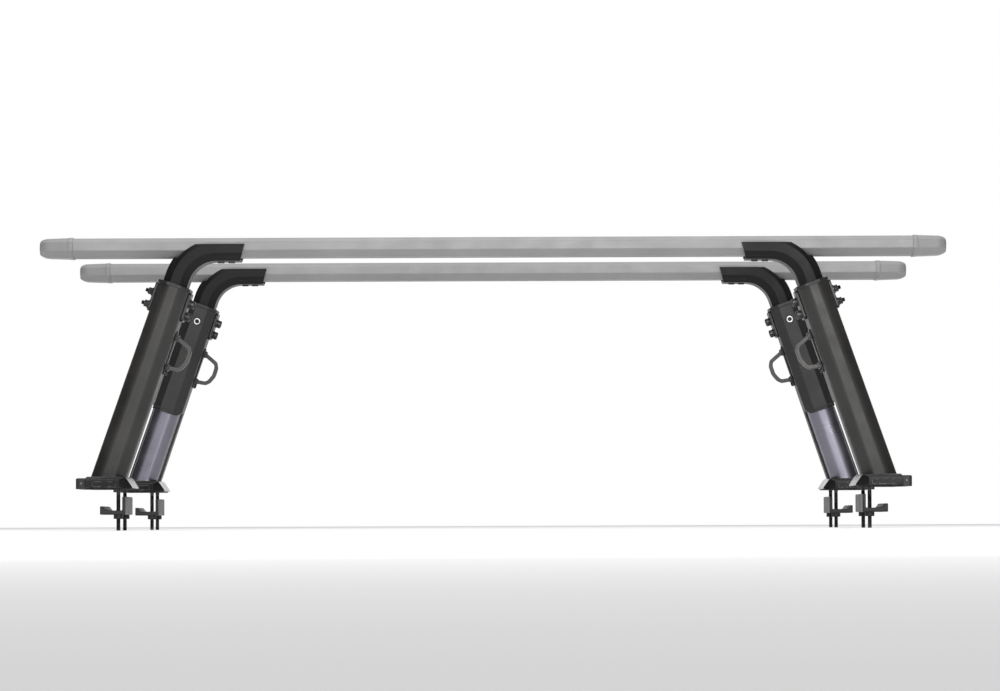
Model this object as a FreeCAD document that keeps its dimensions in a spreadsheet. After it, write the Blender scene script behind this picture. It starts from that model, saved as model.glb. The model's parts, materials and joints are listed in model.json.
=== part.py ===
import FreeCAD, Part
import os
import Sketcher
from FreeCAD import Placement, Rotation, Vector

# Ladder rack for a pickup bed: four telescoping towers clamped to the two bed rails carry two
# crossbars. X runs across the truck, +Y points to the cab, +Z is up. The origin is the middle of
# the four feet, on the plane of the bed rails, so the underside of every foot is at z = 0.

doc = FreeCAD.newDocument("LadderRack")

DIMENSIONS = [
    # whole rack
    ("tower_x", 739.5, "middle of the truck to a mast axis, at rail height"),
    ("row_y", 425, "middle of the rack to each crossbar"),
    ("lean", 19, "inward lean of the towers, degrees"),
    ("collar_low", 406, "rail plane to the collar, along the mast"),
    ("collar_high", 413, "rail plane to the top of the collar, along the mast"),
    # mast: a rounded rectangular extrusion
    ("mast_x", 27.5, "half width of the mast across the truck"),
    ("mast_y", 50, "half depth of the mast"),
    ("mast_wall", 2.3, "wall of the mast"),
    ("mast_foot", 4.2, "height of the mast's lower end above the rail"),
    # shell and lock cover around the mast
    ("skin_top", 30, "half width of the shell at the collar"),
    ("skin_foot", 32.5, "half width of the shell at the foot"),
    ("skin_cut", 17, "chamfer of the shell"),
    ("shell_y", 53, "mast axis to the flat of the outer shell"),
    ("cover_y", 57, "mast axis to the flat of the lock cover"),
    ("cover_wall", 2.5, "wall of the lock cover"),
    ("cover_low", 176, "lower end of the lock cover along the mast"),
    ("seam_y", 5, "offset of the seam between shell and cover"),
    # arm
    ("arm_x", 23.5, "half thickness of the arm in its bending plane"),
    ("arm_y", 46, "half depth of the arm"),
    ("arm_cut", 14, "chamfer of the arm"),
    ("arm_wall", 3.2, "wall of the arm"),
    ("arm_low", 33, "lower end of the arm along the mast"),
    ("arm_bend", 428, "start of the bend along the mast"),
    ("bend_r", 78, "centre line radius of the bend"),
    ("arm_reach", 70, "straight run after the bend, before the end is cut"),
    ("arm_axis_z", 457.3, "height of the arm's level centre line"),
    ("cheek_z", 465.6, "height of the arm's cheeks beside the bar"),
    ("arm_tip", 265, "mast axis foot to the arm's tip, across the truck"),
    ("tip_slant", 15.8, "slant of the arm's cut end, degrees"),
    ("slot_low", 58, "lower end of the adjustment slot"),
    ("slot_high", 393, "upper end of the adjustment slot"),
    ("slot_y", 4.6, "half width of the adjustment slot"),
    # clamp bolts through tower and arm
    ("bolt_r", 4, "radius of the clamp bolts"),
    ("bolt_top", 386, "upper clamp bolt along the mast"),
    ("bolt_pitch", 25, "distance between the clamp bolts"),
    ("plate_in", 30.5, "inner face of a clamp plate"),
    ("plate_out", 36.5, "outer face of a clamp plate"),
    ("plate_low", 349, "lower end of a clamp plate"),
    ("plate_y", 27, "half depth of a clamp plate"),
    # foot
    ("pad_z", 2, "thickness of the rubber pad under a foot"),
    ("foot_z", 24, "height of a foot"),
    ("foot_y", 95, "half length of a foot"),
    ("foot_in", 56.5, "mast axis to the nose of a foot"),
    ("foot_out", 32.5, "mast axis to the outer end of a foot"),
    ("cap_out", 49.5, "mast axis to the outer end of the foot's cap"),
    # rail clamp
    ("jaw_bolt_x", 30, "mast axis to the jaw bolts, inward"),
    ("jaw_bolt_y", 76, "mast axis to the jaw bolts, along the rail"),
    ("jaw_gap", 32, "grip between the foot and the jaw's lip"),
    ("jaw_z", 8, "thickness of the jaw's plate"),
    ("jaw_y", 88, "half length of the jaw"),
    ("jaw_bolt_low", 78, "reach of the jaw bolts below the rail"),
    # crossbar
    ("bar_z", 441, "height of the bar's underside"),
    ("bar_y", 38, "half width of the bar"),
    ("bar_tall", 37, "height of the bar"),
    ("bar_cut", 13, "chamfer along the bar's lower edges"),
    ("bar_slope", 14, "width of the sloped band along the bar's upper edges"),
    ("bar_drop", 7.6, "height of the sloped band along the bar's upper edges"),
    ("bar_end", 799.5, "middle of the truck to the end of the extrusion"),
    ("cap_plug", 30, "length of an end cap's plugs inside the bar"),
    ("saddle_far", 240.5, "mast foot to the saddle bolt near the arm's tip"),
    ("saddle_near", 220.5, "mast foot to the other saddle bolt"),
    ("loop_face", 31.1, "mast axis to the back of the tie-down loop's strip"),
    ("loop_low", 257, "lower end of the tie-down loop, along the mast"),
    ("loop_high", 317, "upper end of the tie-down loop, along the mast"),
    ("cap_end", 863.5, "middle of the truck to the tip of an end cap"),
    # lock
    ("lock_at", 376, "lock along the mast"),
    ("plug_r", 4, "radius of the lock's plug"),
]

dims = doc.addObject("Spreadsheet::Sheet", "Dims")
for row, (alias, size, meaning) in enumerate(DIMENSIONS, start=1):
    dims.set(f"A{row}", meaning)
    dims.set(f"B{row}", str(size))
    dims.setAlias(f"B{row}", alias)
doc.recompute()


def value(expression):
    """Give the number that an expression on the sheet stands for."""
    return float(dims.evalExpression(expression))


# ---------------------------------------------------------------------------
# Small building blocks
# ---------------------------------------------------------------------------

def bind(thing, **sizes):
    """Tie properties of an object to expressions on the sheet."""
    for name, expression in sizes.items():
        thing.setExpression(name, expression)


def at(thing, x="0", y="0", z="0", turn=None):
    """Place an object by expressions, with an optional turn about the Y axis."""
    thing.setExpression("Placement.Base.x", x)
    thing.setExpression("Placement.Base.y", y)
    thing.setExpression("Placement.Base.z", z)
    if turn:
        thing.Placement.Rotation = Rotation(Vector(0, 1, 0), value(turn))
    return thing


def block(name, x_low, x_high, y_low, y_high, z_low, z_high):
    """A box between six expressions."""
    box = doc.addObject("Part::Box", name)
    bind(box, Length=f"({x_high}) - ({x_low})", Width=f"({y_high}) - ({y_low})",
         Height=f"({z_high}) - ({z_low})")
    return at(box, x_low, y_low, z_low)


def rod(name, direction, radius, start, length, x="0", y="0", z="0"):
    """A cylinder along X, Y or Z that begins at start."""
    cylinder = doc.addObject("Part::Cylinder", name)
    bind(cylinder, Radius=radius, Height=length)
    place = {"X": x, "Y": y, "Z": z}
    place[direction] = start
    at(cylinder, place["X"], place["Y"], place["Z"])
    axis = {"X": Vector(1, 0, 0), "Y": Vector(0, 1, 0), "Z": Vector(0, 0, 1)}[direction]
    cylinder.Placement.Rotation = Rotation(Vector(0, 0, 1), axis)
    return cylinder


def hexagon(name, across, start, length, y="0", z="0"):
    """A hexagonal prism along X."""
    prism = doc.addObject("Part::Prism", name)
    prism.Polygon = 6
    bind(prism, Circumradius=f"({across}) / sqrt(3)", Height=length)
    at(prism, start, y, z)
    prism.Placement.Rotation = Rotation(Vector(0, 0, 1), Vector(1, 0, 0))
    return prism


def upright(name, x_low, x_high, y_half, z_low, z_high, side=1):
    """A level box in the frame of a leaning tower; x and z are measured from the foot."""
    box = doc.addObject("Part::Box", name)
    bind(box, Length=f"({x_high}) - ({x_low})", Width=f"2 * ({y_half})",
         Height=f"({z_high}) - ({z_low})")
    corner = x_low if side > 0 else f"-({x_high})"
    lean = f"{side} * Dims.lean"
    return at(box, f"({corner}) * cos({lean}) + ({z_low}) * sin({lean})", f"-({y_half})",
              f"({z_low}) * cos({lean}) - ({corner}) * sin({lean})", turn=lean)


def fuse(name, *pieces):
    """Join pieces into one solid."""
    joined = doc.addObject("Part::MultiFuse", name)
    joined.Shapes = list(pieces)
    joined.Refine = True
    return joined


def cut(name, base, *tools):
    """Take tools away from a base, one after the other."""
    for count, tool in enumerate(tools):
        result = doc.addObject("Part::Cut", name if count == len(tools) - 1 else f"{name}_step")
        result.Base = base
        result.Tool = tool
        base = result
    return base


def common(name, *pieces):
    """Keep what all pieces share."""
    shared = doc.addObject("Part::MultiCommon", name)
    shared.Shapes = list(pieces)
    return shared


def fillet(name, base, radius, keep):
    """Round the edges of a base that pass the keep test."""
    doc.recompute()
    rounded = doc.addObject("Part::Fillet", name)
    rounded.Base = base
    size = value(radius)
    rounded.Edges = [(number, size, size) for number, edge in enumerate(base.Shape.Edges, start=1)
                     if keep(edge)]
    return rounded


def runs_along(axis):
    """Test for straight edges along X, Y or Z."""
    def test(edge):
        ends = edge.Vertexes
        if len(ends) < 2:
            return False
        step = ends[1].Point - ends[0].Point
        return abs(abs(getattr(step, axis)) - step.Length) < 1e-6
    return test


def origin_plane(body, role):
    """One of a body's own origin planes."""
    return next(item for item in body.Origin.OriginFeatures if item.Role == role)


def new_sketch(body, name, role, offset="0"):
    """A sketch on an origin plane, pushed along the plane's normal."""
    sketch = body.newObject("Sketcher::SketchObject", name)
    sketch.AttachmentSupport = [(origin_plane(body, role), "")]
    sketch.MapMode = "FlatFace"
    sketch.setExpression("AttachmentOffset.Base.z", offset)
    return sketch


def outline(sketch, corners):
    """A closed outline whose corners are tied to the sheet."""
    first = sketch.GeometryCount
    count = len(corners)
    points = [Vector(value(across), value(up), 0) for across, up in corners]
    for number in range(count):
        sketch.addGeometry(Part.LineSegment(points[number], points[(number + 1) % count]))
    for number, (across, up) in enumerate(corners):
        line = first + number
        following = first + (number + 1) % count
        sketch.addConstraint(Sketcher.Constraint("Coincident", line, 2, following, 1))
        for kind, expression, size in (("DistanceX", across, points[number].x),
                                       ("DistanceY", up, points[number].y)):
            tie = sketch.addConstraint(Sketcher.Constraint(kind, -1, 1, line, 1, size))
            sketch.setExpression(f"Constraints[{tie}]", expression)


def mirrored(half):
    """Complete a right-hand half outline with its mirror image."""
    return half + [(f"-({across})", up) for across, up in reversed(half)]


def octagon(x_half, y_low, y_high, chamfer):
    """Corners of an eight-sided section."""
    right = [(f"({x_half}) - ({chamfer})", f"-({y_low})"), (x_half, f"({chamfer}) - ({y_low})"),
             (x_half, f"({y_high}) - ({chamfer})"), (f"({x_half}) - ({chamfer})", y_high)]
    return mirrored(right)


def prism(name, role, outlines, length, start="0", both_ways=False):
    """A body padded from one sketch with one or more outlines."""
    body = doc.addObject("PartDesign::Body", name)
    sketch = new_sketch(body, f"{name}_section", role, start)
    for corners in outlines:
        outline(sketch, corners)
    pad = body.newObject("PartDesign::Pad", f"{name}_pad")
    pad.Profile = sketch
    if both_ways:
        pad.SideType = "Symmetric"
    bind(pad, Length=length)
    return body


def taper(name, role, sections):
    """A body lofted straight through sections, each an offset and an outline."""
    body = doc.addObject("PartDesign::Body", name)
    sketches = []
    for number, (offset, corners) in enumerate(sections):
        sketch = new_sketch(body, f"{name}_section{number}", role, offset)
        outline(sketch, corners)
        sketches.append(sketch)
    loft = body.newObject("PartDesign::AdditiveLoft", f"{name}_loft")
    loft.Profile = sketches[0]
    loft.Sections = sketches[1:]
    loft.Ruled = True
    return body


def rounded_post(name, x_half, y_half, radius, low, high):
    """A post along Z with a rounded rectangular section."""
    post = block(f"{name}_block", f"-({x_half})", x_half, f"-({y_half})", y_half, low, high)
    return fillet(name, post, radius, runs_along("z"))


# ---------------------------------------------------------------------------
# Where the four towers stand
# ---------------------------------------------------------------------------

class Tower:
    """One tower: its name, its side of the truck and its row."""

    def __init__(self, name, side, row):
        self.name = name
        self.side = side
        self.row = row

    def put(self, piece, leaning=True, by_row=False):
        """Stand a piece on this tower, turned so that it faces the right way."""
        turned = (self.row if by_row else self.side) < 0
        spin = Rotation(Vector(0, 0, 1), 180 if turned else 0)
        tilt = Rotation(Vector(0, 1, 0), -self.side * value("Dims.lean") if leaning else 0)
        piece.Placement.Rotation = tilt * spin
        piece.setExpression("Placement.Base.x", f"{self.side} * Dims.tower_x")
        piece.setExpression("Placement.Base.y", f"{self.row} * Dims.row_y")
        return piece


TOWERS = [Tower("rear_left", -1, -1), Tower("rear_right", 1, -1),
          Tower("front_left", -1, 1), Tower("front_right", 1, 1)]

nodes = []


def finish(piece, label):
    """Label a finished sub-part; the label names its file."""
    piece.Label = label
    nodes.append(piece)
    return piece


def on_every_tower(label, make, leaning=True, by_row=False):
    """Give each tower its own copy of a sub-part, each in a node of its own."""
    for tower in TOWERS:
        piece = make(tower)
        tower.put(piece, leaning, by_row)
        finish(piece, f"{label}_{tower.name}")


def group_on_towers(label, make, leaning=True, by_row=False):
    """Identical small parts of all towers, kept together in one node."""
    master = make(TOWERS[3])
    members = []
    for tower in TOWERS:
        link = doc.addObject("App::Link", f"{label}_{tower.name}")
        link.LinkedObject = master
        link.LinkTransform = False
        tower.put(link, leaning, by_row)
        members.append(link)
    together = doc.addObject("Part::Compound", label)
    together.Links = members
    finish(together, label)


# ---------------------------------------------------------------------------
# Feet and rail clamps
# ---------------------------------------------------------------------------

def mast_envelope(extra):
    """The space of a mast, a little larger by extra, leaning as the mast does."""
    return rounded_post("mast_space", f"Dims.mast_x + {extra}", f"Dims.mast_y + {extra}",
                        "Dims.mast_x - 5.5", "-40", "Dims.collar_high + 40")


def leaned(piece):
    """Lean a tool of an upright part like the mast of a right-hand tower."""
    piece.Placement = Placement(Vector(0, 0, 0), Rotation(Vector(0, 1, 0), -value("Dims.lean")))
    return piece


def jaw_bolt_holes(radius, low, high):
    """Round tools for the two jaw bolts of a foot."""
    return [rod("jaw_bolt_hole", "Z", radius, low, f"({high}) - ({low})", x="-Dims.jaw_bolt_x",
                y=f"{end} * Dims.jaw_bolt_y") for end in (-1, 1)]


def foot(tower):
    """Cast foot: sloped nose, chamfered top, a socket for the mast and two counterbored holes."""
    side_view = prism("foot_side", "XZ_Plane", [[
        ("-Dims.foot_in", "Dims.pad_z"), ("Dims.foot_out", "Dims.pad_z"),
        ("Dims.foot_out", "Dims.foot_z - 4"), ("Dims.foot_out - 4", "Dims.foot_z"),
        ("15.5 - Dims.foot_in", "Dims.foot_z"), ("10.5 - Dims.foot_in", "Dims.foot_z - 4"),
        ("-Dims.foot_in", "Dims.pad_z + 2")]], "2 * Dims.foot_y", both_ways=True)
    end_view = prism("foot_end", "YZ_Plane", [mirrored([
        ("Dims.foot_y", "-1"), ("Dims.foot_y", "Dims.foot_z - 6"),
        ("Dims.foot_y - 9", "Dims.foot_z + 1")])], "4 * Dims.foot_in", both_ways=True)
    top_view = prism("foot_top", "XY_Plane", [[
        ("Dims.foot_out + 1", "-Dims.foot_y"), ("Dims.foot_out + 1", "Dims.foot_y"),
        ("24 - Dims.foot_in", "Dims.foot_y"), ("-Dims.foot_in", "Dims.foot_y - 20"),
        ("-Dims.foot_in", "20 - Dims.foot_y"), ("24 - Dims.foot_in", "-Dims.foot_y")]],
        "2 * Dims.foot_z")
    socket = common("foot_socket", leaned(mast_envelope("0.1")),
                    block("above_floor", "-99", "99", "-99", "99", "Dims.mast_foot - 0.2", "99"))
    holes = jaw_bolt_holes("Dims.bolt_r + 0.5", "-1", "Dims.foot_z + 1")
    holes += jaw_bolt_holes("7.3", "Dims.foot_z - 9", "Dims.foot_z + 1")
    return cut("foot", common("foot_form", side_view, end_view, top_view), socket, *holes)


def foot_pad(tower):
    """Rubber pad between the foot and the rail."""
    sheet = block("foot_sheet", "4 - Dims.foot_in", "Dims.foot_out - 1", "4 - Dims.foot_y",
                  "Dims.foot_y - 4", "0", "Dims.pad_z")
    soft = fillet("foot_pad_form", sheet, "12", runs_along("z"))
    return cut("foot_pad", soft, *jaw_bolt_holes("Dims.bolt_r + 0.5", "-1", "Dims.pad_z + 1"))


def foot_end_cap(tower):
    """Plastic cap on the outer end of a foot, with rounded corners."""
    plain = block("cap_block", "Dims.foot_out", "Dims.cap_out", "3 - Dims.foot_y",
                  "Dims.foot_y - 3", "0.4", "Dims.foot_z - 3")
    outer = value("Dims.cap_out")

    def outer_corner(edge):
        return edge.CenterOfMass.x > outer - 0.01 and runs_along("z")(edge)

    def outer_rim(edge):
        middle = edge.CenterOfMass
        return middle.z > value("Dims.foot_z") - 3.01 and middle.x > value("Dims.foot_out") + 1
    corners = fillet("cap_corners", plain, "6", outer_corner)
    return fillet("foot_end_cap", corners, "4", outer_rim)


def foot_cap_screw(tower):
    """Small domed screws in the ends of a cap."""
    heads = []
    for end in (-1, 1):
        reach = f"{end} * (Dims.foot_y - 3)"
        head = rod("cap_screw_head", "Y", "3.2", f"{reach} - 0.8 + {end} * 0.8", "1.6",
                   x="Dims.foot_out + 7", z="11")
        heads.append(head)
    return fuse("foot_cap_screw", *heads)


def rail_jaw(tower):
    """Jaw under the rail's flange: plate, heel, raised lip and two threaded bosses."""
    grip = "-Dims.jaw_gap"
    plate = f"({grip} - 8)"
    floor = f"({plate} - Dims.jaw_z)"
    form = prism("jaw_form", "XZ_Plane", [[
        ("12.5 - Dims.foot_in", floor), ("4", floor), ("4", grip), ("0", grip), ("-6", plate),
        ("18.5 - Dims.foot_in", plate), ("18.5 - Dims.foot_in", "-14"),
        ("12.5 - Dims.foot_in", "-14")]], "2 * Dims.jaw_y", both_ways=True)
    bosses = jaw_bolt_holes("9", f"{floor} - 8", floor)
    body = fuse("jaw_solid", form, *bosses)
    return cut("rail_jaw", body, *jaw_bolt_holes("Dims.bolt_r + 0.05", "-90", "0"))


def jaw_bolts(tower):
    """Socket screws that draw the jaw up; each is a head, a shank and a hexagon socket."""
    screws = []
    for end in (-1, 1):
        y = f"{end} * Dims.jaw_bolt_y"
        shank = rod("jaw_bolt_shank", "Z", "Dims.bolt_r", "-Dims.jaw_bolt_low",
                    "Dims.jaw_bolt_low + Dims.foot_z - 8", x="-Dims.jaw_bolt_x", y=y)
        head = rod("jaw_bolt_head", "Z", "6.5", "Dims.foot_z - 9", "8", x="-Dims.jaw_bolt_x", y=y)
        recess = doc.addObject("Part::Prism", "jaw_bolt_recess")
        recess.Polygon = 6
        bind(recess, Circumradius="6 / sqrt(3)", Height="6")
        at(recess, "-Dims.jaw_bolt_x", y, "Dims.foot_z - 5")
        screws.append(cut("jaw_bolt", fuse("jaw_bolt_solid", shank, head), recess))
    pair = doc.addObject("Part::Compound", "jaw_bolt_pair")
    pair.Links = screws
    return pair


# ---------------------------------------------------------------------------
# Towers
# ---------------------------------------------------------------------------

def clamp_bolt_holes(radius, x_low="-60", x_high="60"):
    """Round tools for the two bolts across a tower."""
    return [rod("clamp_bolt_hole", "X", radius, x_low, f"({x_high}) - ({x_low})",
                z=f"Dims.bolt_top - {number} * Dims.bolt_pitch") for number in (0, 1)]


def mast(tower):
    """Rounded hollow mast, cut level where it stands in the foot."""
    outside = rounded_post("mast_outside", "Dims.mast_x", "Dims.mast_y", "Dims.mast_x - 5.5",
                           "-20", "Dims.collar_low")
    inside = rounded_post("mast_inside", "Dims.mast_x - Dims.mast_wall",
                          "Dims.mast_y - Dims.mast_wall",
                          "Dims.mast_x - 5.5 - Dims.mast_wall", "-30", "Dims.collar_low + 10")
    below = upright("below_mast", "-99", "99", "99", "-99", "Dims.mast_foot")
    return cut("mast", outside, inside, below, *clamp_bolt_holes("Dims.bolt_r + 0.1"))


def skin(low, high):
    """Eight-sided form of the shell and the cover, a little wider at the foot."""
    def section(half):
        return octagon(half, "Dims.cover_y", "Dims.shell_y", "Dims.skin_cut")
    return taper("skin", "XY_Plane", [(low, section("Dims.skin_foot")),
                                      (high, section("Dims.skin_top"))])


def outer_shell(tower):
    """Full-length shell on the outer face, wrapped round both sides of the mast."""
    keep = block("shell_side", "-99", "99", "-Dims.seam_y", "99", "-99", "999")
    below = upright("below_shell", "-99", "99", "99", "-99", "Dims.foot_z + 0.1",
                    side=tower.side * tower.row)
    half = common("shell_half", skin("0", "Dims.collar_low"), keep)
    return cut("outer_shell", half, mast_envelope("0"), below,
               *clamp_bolt_holes("Dims.bolt_r + 0.1"))


def lock_cover(tower):
    """Hollow cover on the inner face, open at its lower end, with a hole for the lock."""
    keep = block("cover_side", "-99", "99", "-99", "-Dims.seam_y - 0.3", "Dims.cover_low",
                 "Dims.collar_low")
    half = common("cover_half", skin("0", "Dims.collar_low"), keep)
    wall = "Dims.cover_wall"
    hollow = prism("cover_hollow", "XY_Plane", [mirrored([
        ("Dims.mast_x", "-4"), ("Dims.mast_x", f"Dims.skin_cut + 1 - Dims.cover_y + {wall}"),
        ("Dims.mast_x - Dims.skin_cut + 1", f"{wall} - Dims.cover_y")])],
        "Dims.collar_low", "Dims.cover_low - 99")
    keyhole = rod("cover_hole", "Y", "5.85", "-99", "60", z="Dims.lock_at")
    return cut("lock_cover", half, hollow, mast_envelope("0"), keyhole)


def collar(tower):
    """Collar that closes the top of the tower round the arm."""
    ring = prism("collar_form", "XY_Plane", [
        octagon("Dims.skin_top + 1.5", "Dims.cover_y + 1.5", "Dims.shell_y + 1.5",
                "Dims.skin_cut"),
        octagon("Dims.arm_x + 0.4", "Dims.arm_y + 0.4", "Dims.arm_y + 0.4", "Dims.arm_cut")],
        "Dims.collar_high - Dims.collar_low", "Dims.collar_low")
    return ring


def mast_glide(tower):
    """Plastic bush between the mast and the arm."""
    post = rounded_post("glide_outside", "Dims.mast_x - Dims.mast_wall - 0.05",
                        "Dims.mast_y - Dims.mast_wall - 0.05",
                        "Dims.mast_x - 5.5 - Dims.mast_wall", "Dims.plate_low - 9",
                        "Dims.collar_low")
    bore = prism("glide_bore", "XY_Plane", [octagon(
        "Dims.arm_x + 0.4", "Dims.arm_y + 0.4", "Dims.arm_y + 0.4", "Dims.arm_cut")],
        "Dims.collar_high", "Dims.plate_low - 50")
    return cut("mast_glide", post, bore, *clamp_bolt_holes("Dims.slot_y"))


def clamp_plates(tower):
    """Two thick plates that the clamp bolts pull against the tower."""
    plates = []
    for side in (-1, 1):
        low, high = sorted((f"{side} * Dims.plate_in", f"{side} * Dims.plate_out"), key=value)
        plate = block("clamp_plate_block", low, high, "-Dims.plate_y", "Dims.plate_y",
                      "Dims.plate_low", "Dims.collar_low")
        plates.append(cut("clamp_plate", fillet("clamp_plate_form", plate, "6", runs_along("x")),
                          *clamp_bolt_holes("Dims.bolt_r + 0.1")))
    pair = doc.addObject("Part::Compound", "clamp_plate_pair")
    pair.Links = plates
    return pair


def clamp_bolts(tower):
    """Two round-headed bolts through the tower, heads on the inner side."""
    screws = []
    for number in (0, 1):
        z = f"Dims.bolt_top - {number} * Dims.bolt_pitch"
        shank = rod("clamp_shank", "X", "Dims.bolt_r", "-Dims.plate_out - 2",
                    "2 * Dims.plate_out + 16", z=z)
        head = rod("clamp_head", "X", "8", "-Dims.plate_out - 10", "8.4", z=z)
        recess = hexagon("clamp_recess", "8", "-Dims.plate_out - 11", "5", z=z)
        screws.append(cut("clamp_bolt", fuse("clamp_solid", shank, head), recess))
    pair = doc.addObject("Part::Compound", "clamp_bolt_pair")
    pair.Links = screws
    return pair


def clamp_washers(tower):
    """Washers under the bolt heads and the nuts."""
    rings = []
    for start in ("-Dims.plate_out - 1.6", "Dims.plate_out"):
        for number in (0, 1):
            z = f"Dims.bolt_top - {number} * Dims.bolt_pitch"
            disc = rod("washer_disc", "X", "9", start, "1.6", z=z)
            hole = rod("washer_hole", "X", "Dims.bolt_r + 0.1", f"{start} - 1", "4", z=z)
            rings.append(cut("clamp_washer", disc, hole))
    set_of_four = doc.addObject("Part::Compound", "clamp_washer_set")
    set_of_four.Links = rings
    return set_of_four


def clamp_nuts(tower):
    """Flanged nuts on the outer side."""
    nuts = []
    for number in (0, 1):
        z = f"Dims.bolt_top - {number} * Dims.bolt_pitch"
        flange = rod("nut_flange", "X", "8.2", "Dims.plate_out + 1.6", "1.8", z=z)
        body = hexagon("nut_body", "13", "Dims.plate_out + 1.6", "8.4", z=z)
        hole = rod("nut_hole", "X", "Dims.bolt_r + 0.02", "Dims.plate_out", "14", z=z)
        nuts.append(cut("clamp_nut", fuse("nut_solid", flange, body), hole))
    pair = doc.addObject("Part::Compound", "clamp_nut_pair")
    pair.Links = nuts
    return pair


# ---------------------------------------------------------------------------
# Lock and tie-down loop
# ---------------------------------------------------------------------------

def lock_barrel(tower):
    """Bright ring and body that hold the lock's plug in the cover."""
    body = rod("barrel_body", "Y", "5.75", "-Dims.cover_y - 0.1", "6.4", z="Dims.lock_at")
    ring = rod("barrel_ring", "Y", "7", "-Dims.cover_y - 1.2", "1.2", z="Dims.lock_at")
    bore = rod("barrel_bore", "Y", "Dims.plug_r + 0.05", "-Dims.cover_y - 3", "20",
               z="Dims.lock_at")
    return cut("lock_barrel", fuse("barrel_solid", body, ring), bore)


def lock_plug(tower):
    """Plug that the key turns, with a key slot."""
    pin = rod("plug_pin", "Y", "Dims.plug_r", "-Dims.cover_y - 1", "7", z="Dims.lock_at")
    slot = block("key_slot", "-0.9", "0.9", "-Dims.cover_y - 2", "3 - Dims.cover_y",
                 "Dims.lock_at - 2.8", "Dims.lock_at + 2.8")
    return cut("lock_plug", pin, slot)


def loop_bracket(tower):
    """Back strip of the loop with an upper and a lower boss."""
    strip = block("bracket_strip", "-Dims.loop_face - 2.8", "-Dims.loop_face", "-9", "9",
                  "Dims.loop_low - 14", "Dims.loop_high + 12")
    bosses = [block("bracket_boss", "-38", "-33", "-8.5", "8.5", f"{height} - 6", f"{height} + 6")
              for height in ("Dims.loop_low", "Dims.loop_high")]
    return fuse("loop_bracket", strip, *bosses)


def loop_screw(tower):
    """Screw below the lower boss."""
    z = "Dims.loop_low - 10.8"
    return cut("loop_screw", rod("loop_screw_head", "X", "4.5", "-39", "5.1", z=z),
               hexagon("loop_screw_recess", "4", "-40", "4", z=z))


def tie_down_loop(tower):
    """D-shaped loop of flat stock bent round four corners."""
    def loop_outline(grow):
        return [("-38", f"Dims.loop_high + {grow}"), (f"-62 - {grow}", f"306 + {grow}"),
                (f"-66 - {grow}", "298"), (f"-66.5 - {grow}", "280"),
                (f"-61 - {grow}", f"266 - {grow}"), ("-55", f"Dims.loop_low + 3 - {grow}"),
                ("-38", f"Dims.loop_low - {grow}")]
    outer = prism("loop_outer", "XZ_Plane", [loop_outline("4")], "14", both_ways=True)
    inner = prism("loop_inner", "XZ_Plane", [loop_outline("-4")], "30", both_ways=True)
    return cut("tie_down_loop", outer, inner)


# ---------------------------------------------------------------------------
# Arms
# ---------------------------------------------------------------------------

def gooseneck(name, shrink):
    """Eight-sided bar along the arm's path: leg, bend and level run."""
    body = doc.addObject("PartDesign::Body", name)
    section = new_sketch(body, f"{name}_section", "XY_Plane", "Dims.arm_low")
    outline(section, octagon(f"Dims.arm_x - {shrink}", f"Dims.arm_y - {shrink}",
                             f"Dims.arm_y - {shrink}", f"Dims.arm_cut - 0.586 * {shrink}"))
    path = new_sketch(body, f"{name}_path", "XZ_Plane")
    turn = 90 - value("Dims.lean")
    radius = value("Dims.bend_r")
    start = Vector(0, value("Dims.arm_bend"), 0)
    centre = start - Vector(radius, 0, 0)
    out = Rotation(Vector(0, 0, 1), turn).multVec(Vector(1, 0, 0))
    along = Rotation(Vector(0, 0, 1), turn).multVec(Vector(0, 1, 0))
    bend_end = centre + out * radius
    path.addGeometry(Part.LineSegment(Vector(0, value("Dims.arm_low"), 0), start))
    path.addGeometry(Part.ArcOfCircle(Part.Circle(centre, Vector(0, 0, 1), radius), 0,
                                      turn * 3.141592653589793 / 180))
    path.addGeometry(Part.LineSegment(bend_end, bend_end + along * value("Dims.arm_reach")))
    doc.recompute()
    pipe = body.newObject("PartDesign::AdditivePipe", f"{name}_pipe")
    pipe.Profile = section
    pipe.Spine = (path, ["Edge1", "Edge2", "Edge3"])
    return body


def tip_cutter():
    """Box beyond the arm's slanted end."""
    box = doc.addObject("Part::Box", "beyond_tip")
    bind(box, Length="90", Width="120", Height="140")
    tilt = "(Dims.lean - Dims.tip_slant)"
    across = "(-Dims.arm_tip)"
    up = "Dims.arm_axis_z"
    x = f"{across} * cos(Dims.lean) + {up} * sin(Dims.lean) - 90 * cos{tilt} - 70 * sin{tilt}"
    z = f"{up} * cos(Dims.lean) - {across} * sin(Dims.lean) + 90 * sin{tilt} - 70 * cos{tilt}"
    return at(box, x, "-60", z, turn=tilt)


def arm(tower):
    """Telescoping arm: slotted leg, gooseneck bend and an open saddle for the crossbar."""
    tube = cut("arm_tube", gooseneck("arm_outside", "0"),
               gooseneck("arm_inside", "Dims.arm_wall"))
    above = upright("above_cheeks", "-330", "60", "60", "Dims.cheek_z", "Dims.cheek_z + 60")
    bar_way = upright("bar_way", "-330", "60", "Dims.bar_y + 0.6", "Dims.bar_z - 0.6",
                      "Dims.bar_z + 80")
    slot = block("arm_slot", "-40", "40", "-Dims.slot_y", "Dims.slot_y", "Dims.slot_low",
                 "Dims.slot_high")
    holes = []
    for distance in ("Dims.saddle_far", "Dims.saddle_near"):
        hole = upright("saddle_hole", f"-{distance} - 4.1", f"4.1 - {distance}", "4.1",
                       "Dims.arm_axis_z - 30", "Dims.arm_axis_z")
        holes.append(hole)
    return cut("arm", tube, above, bar_way, slot, tip_cutter(), *holes)


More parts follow.
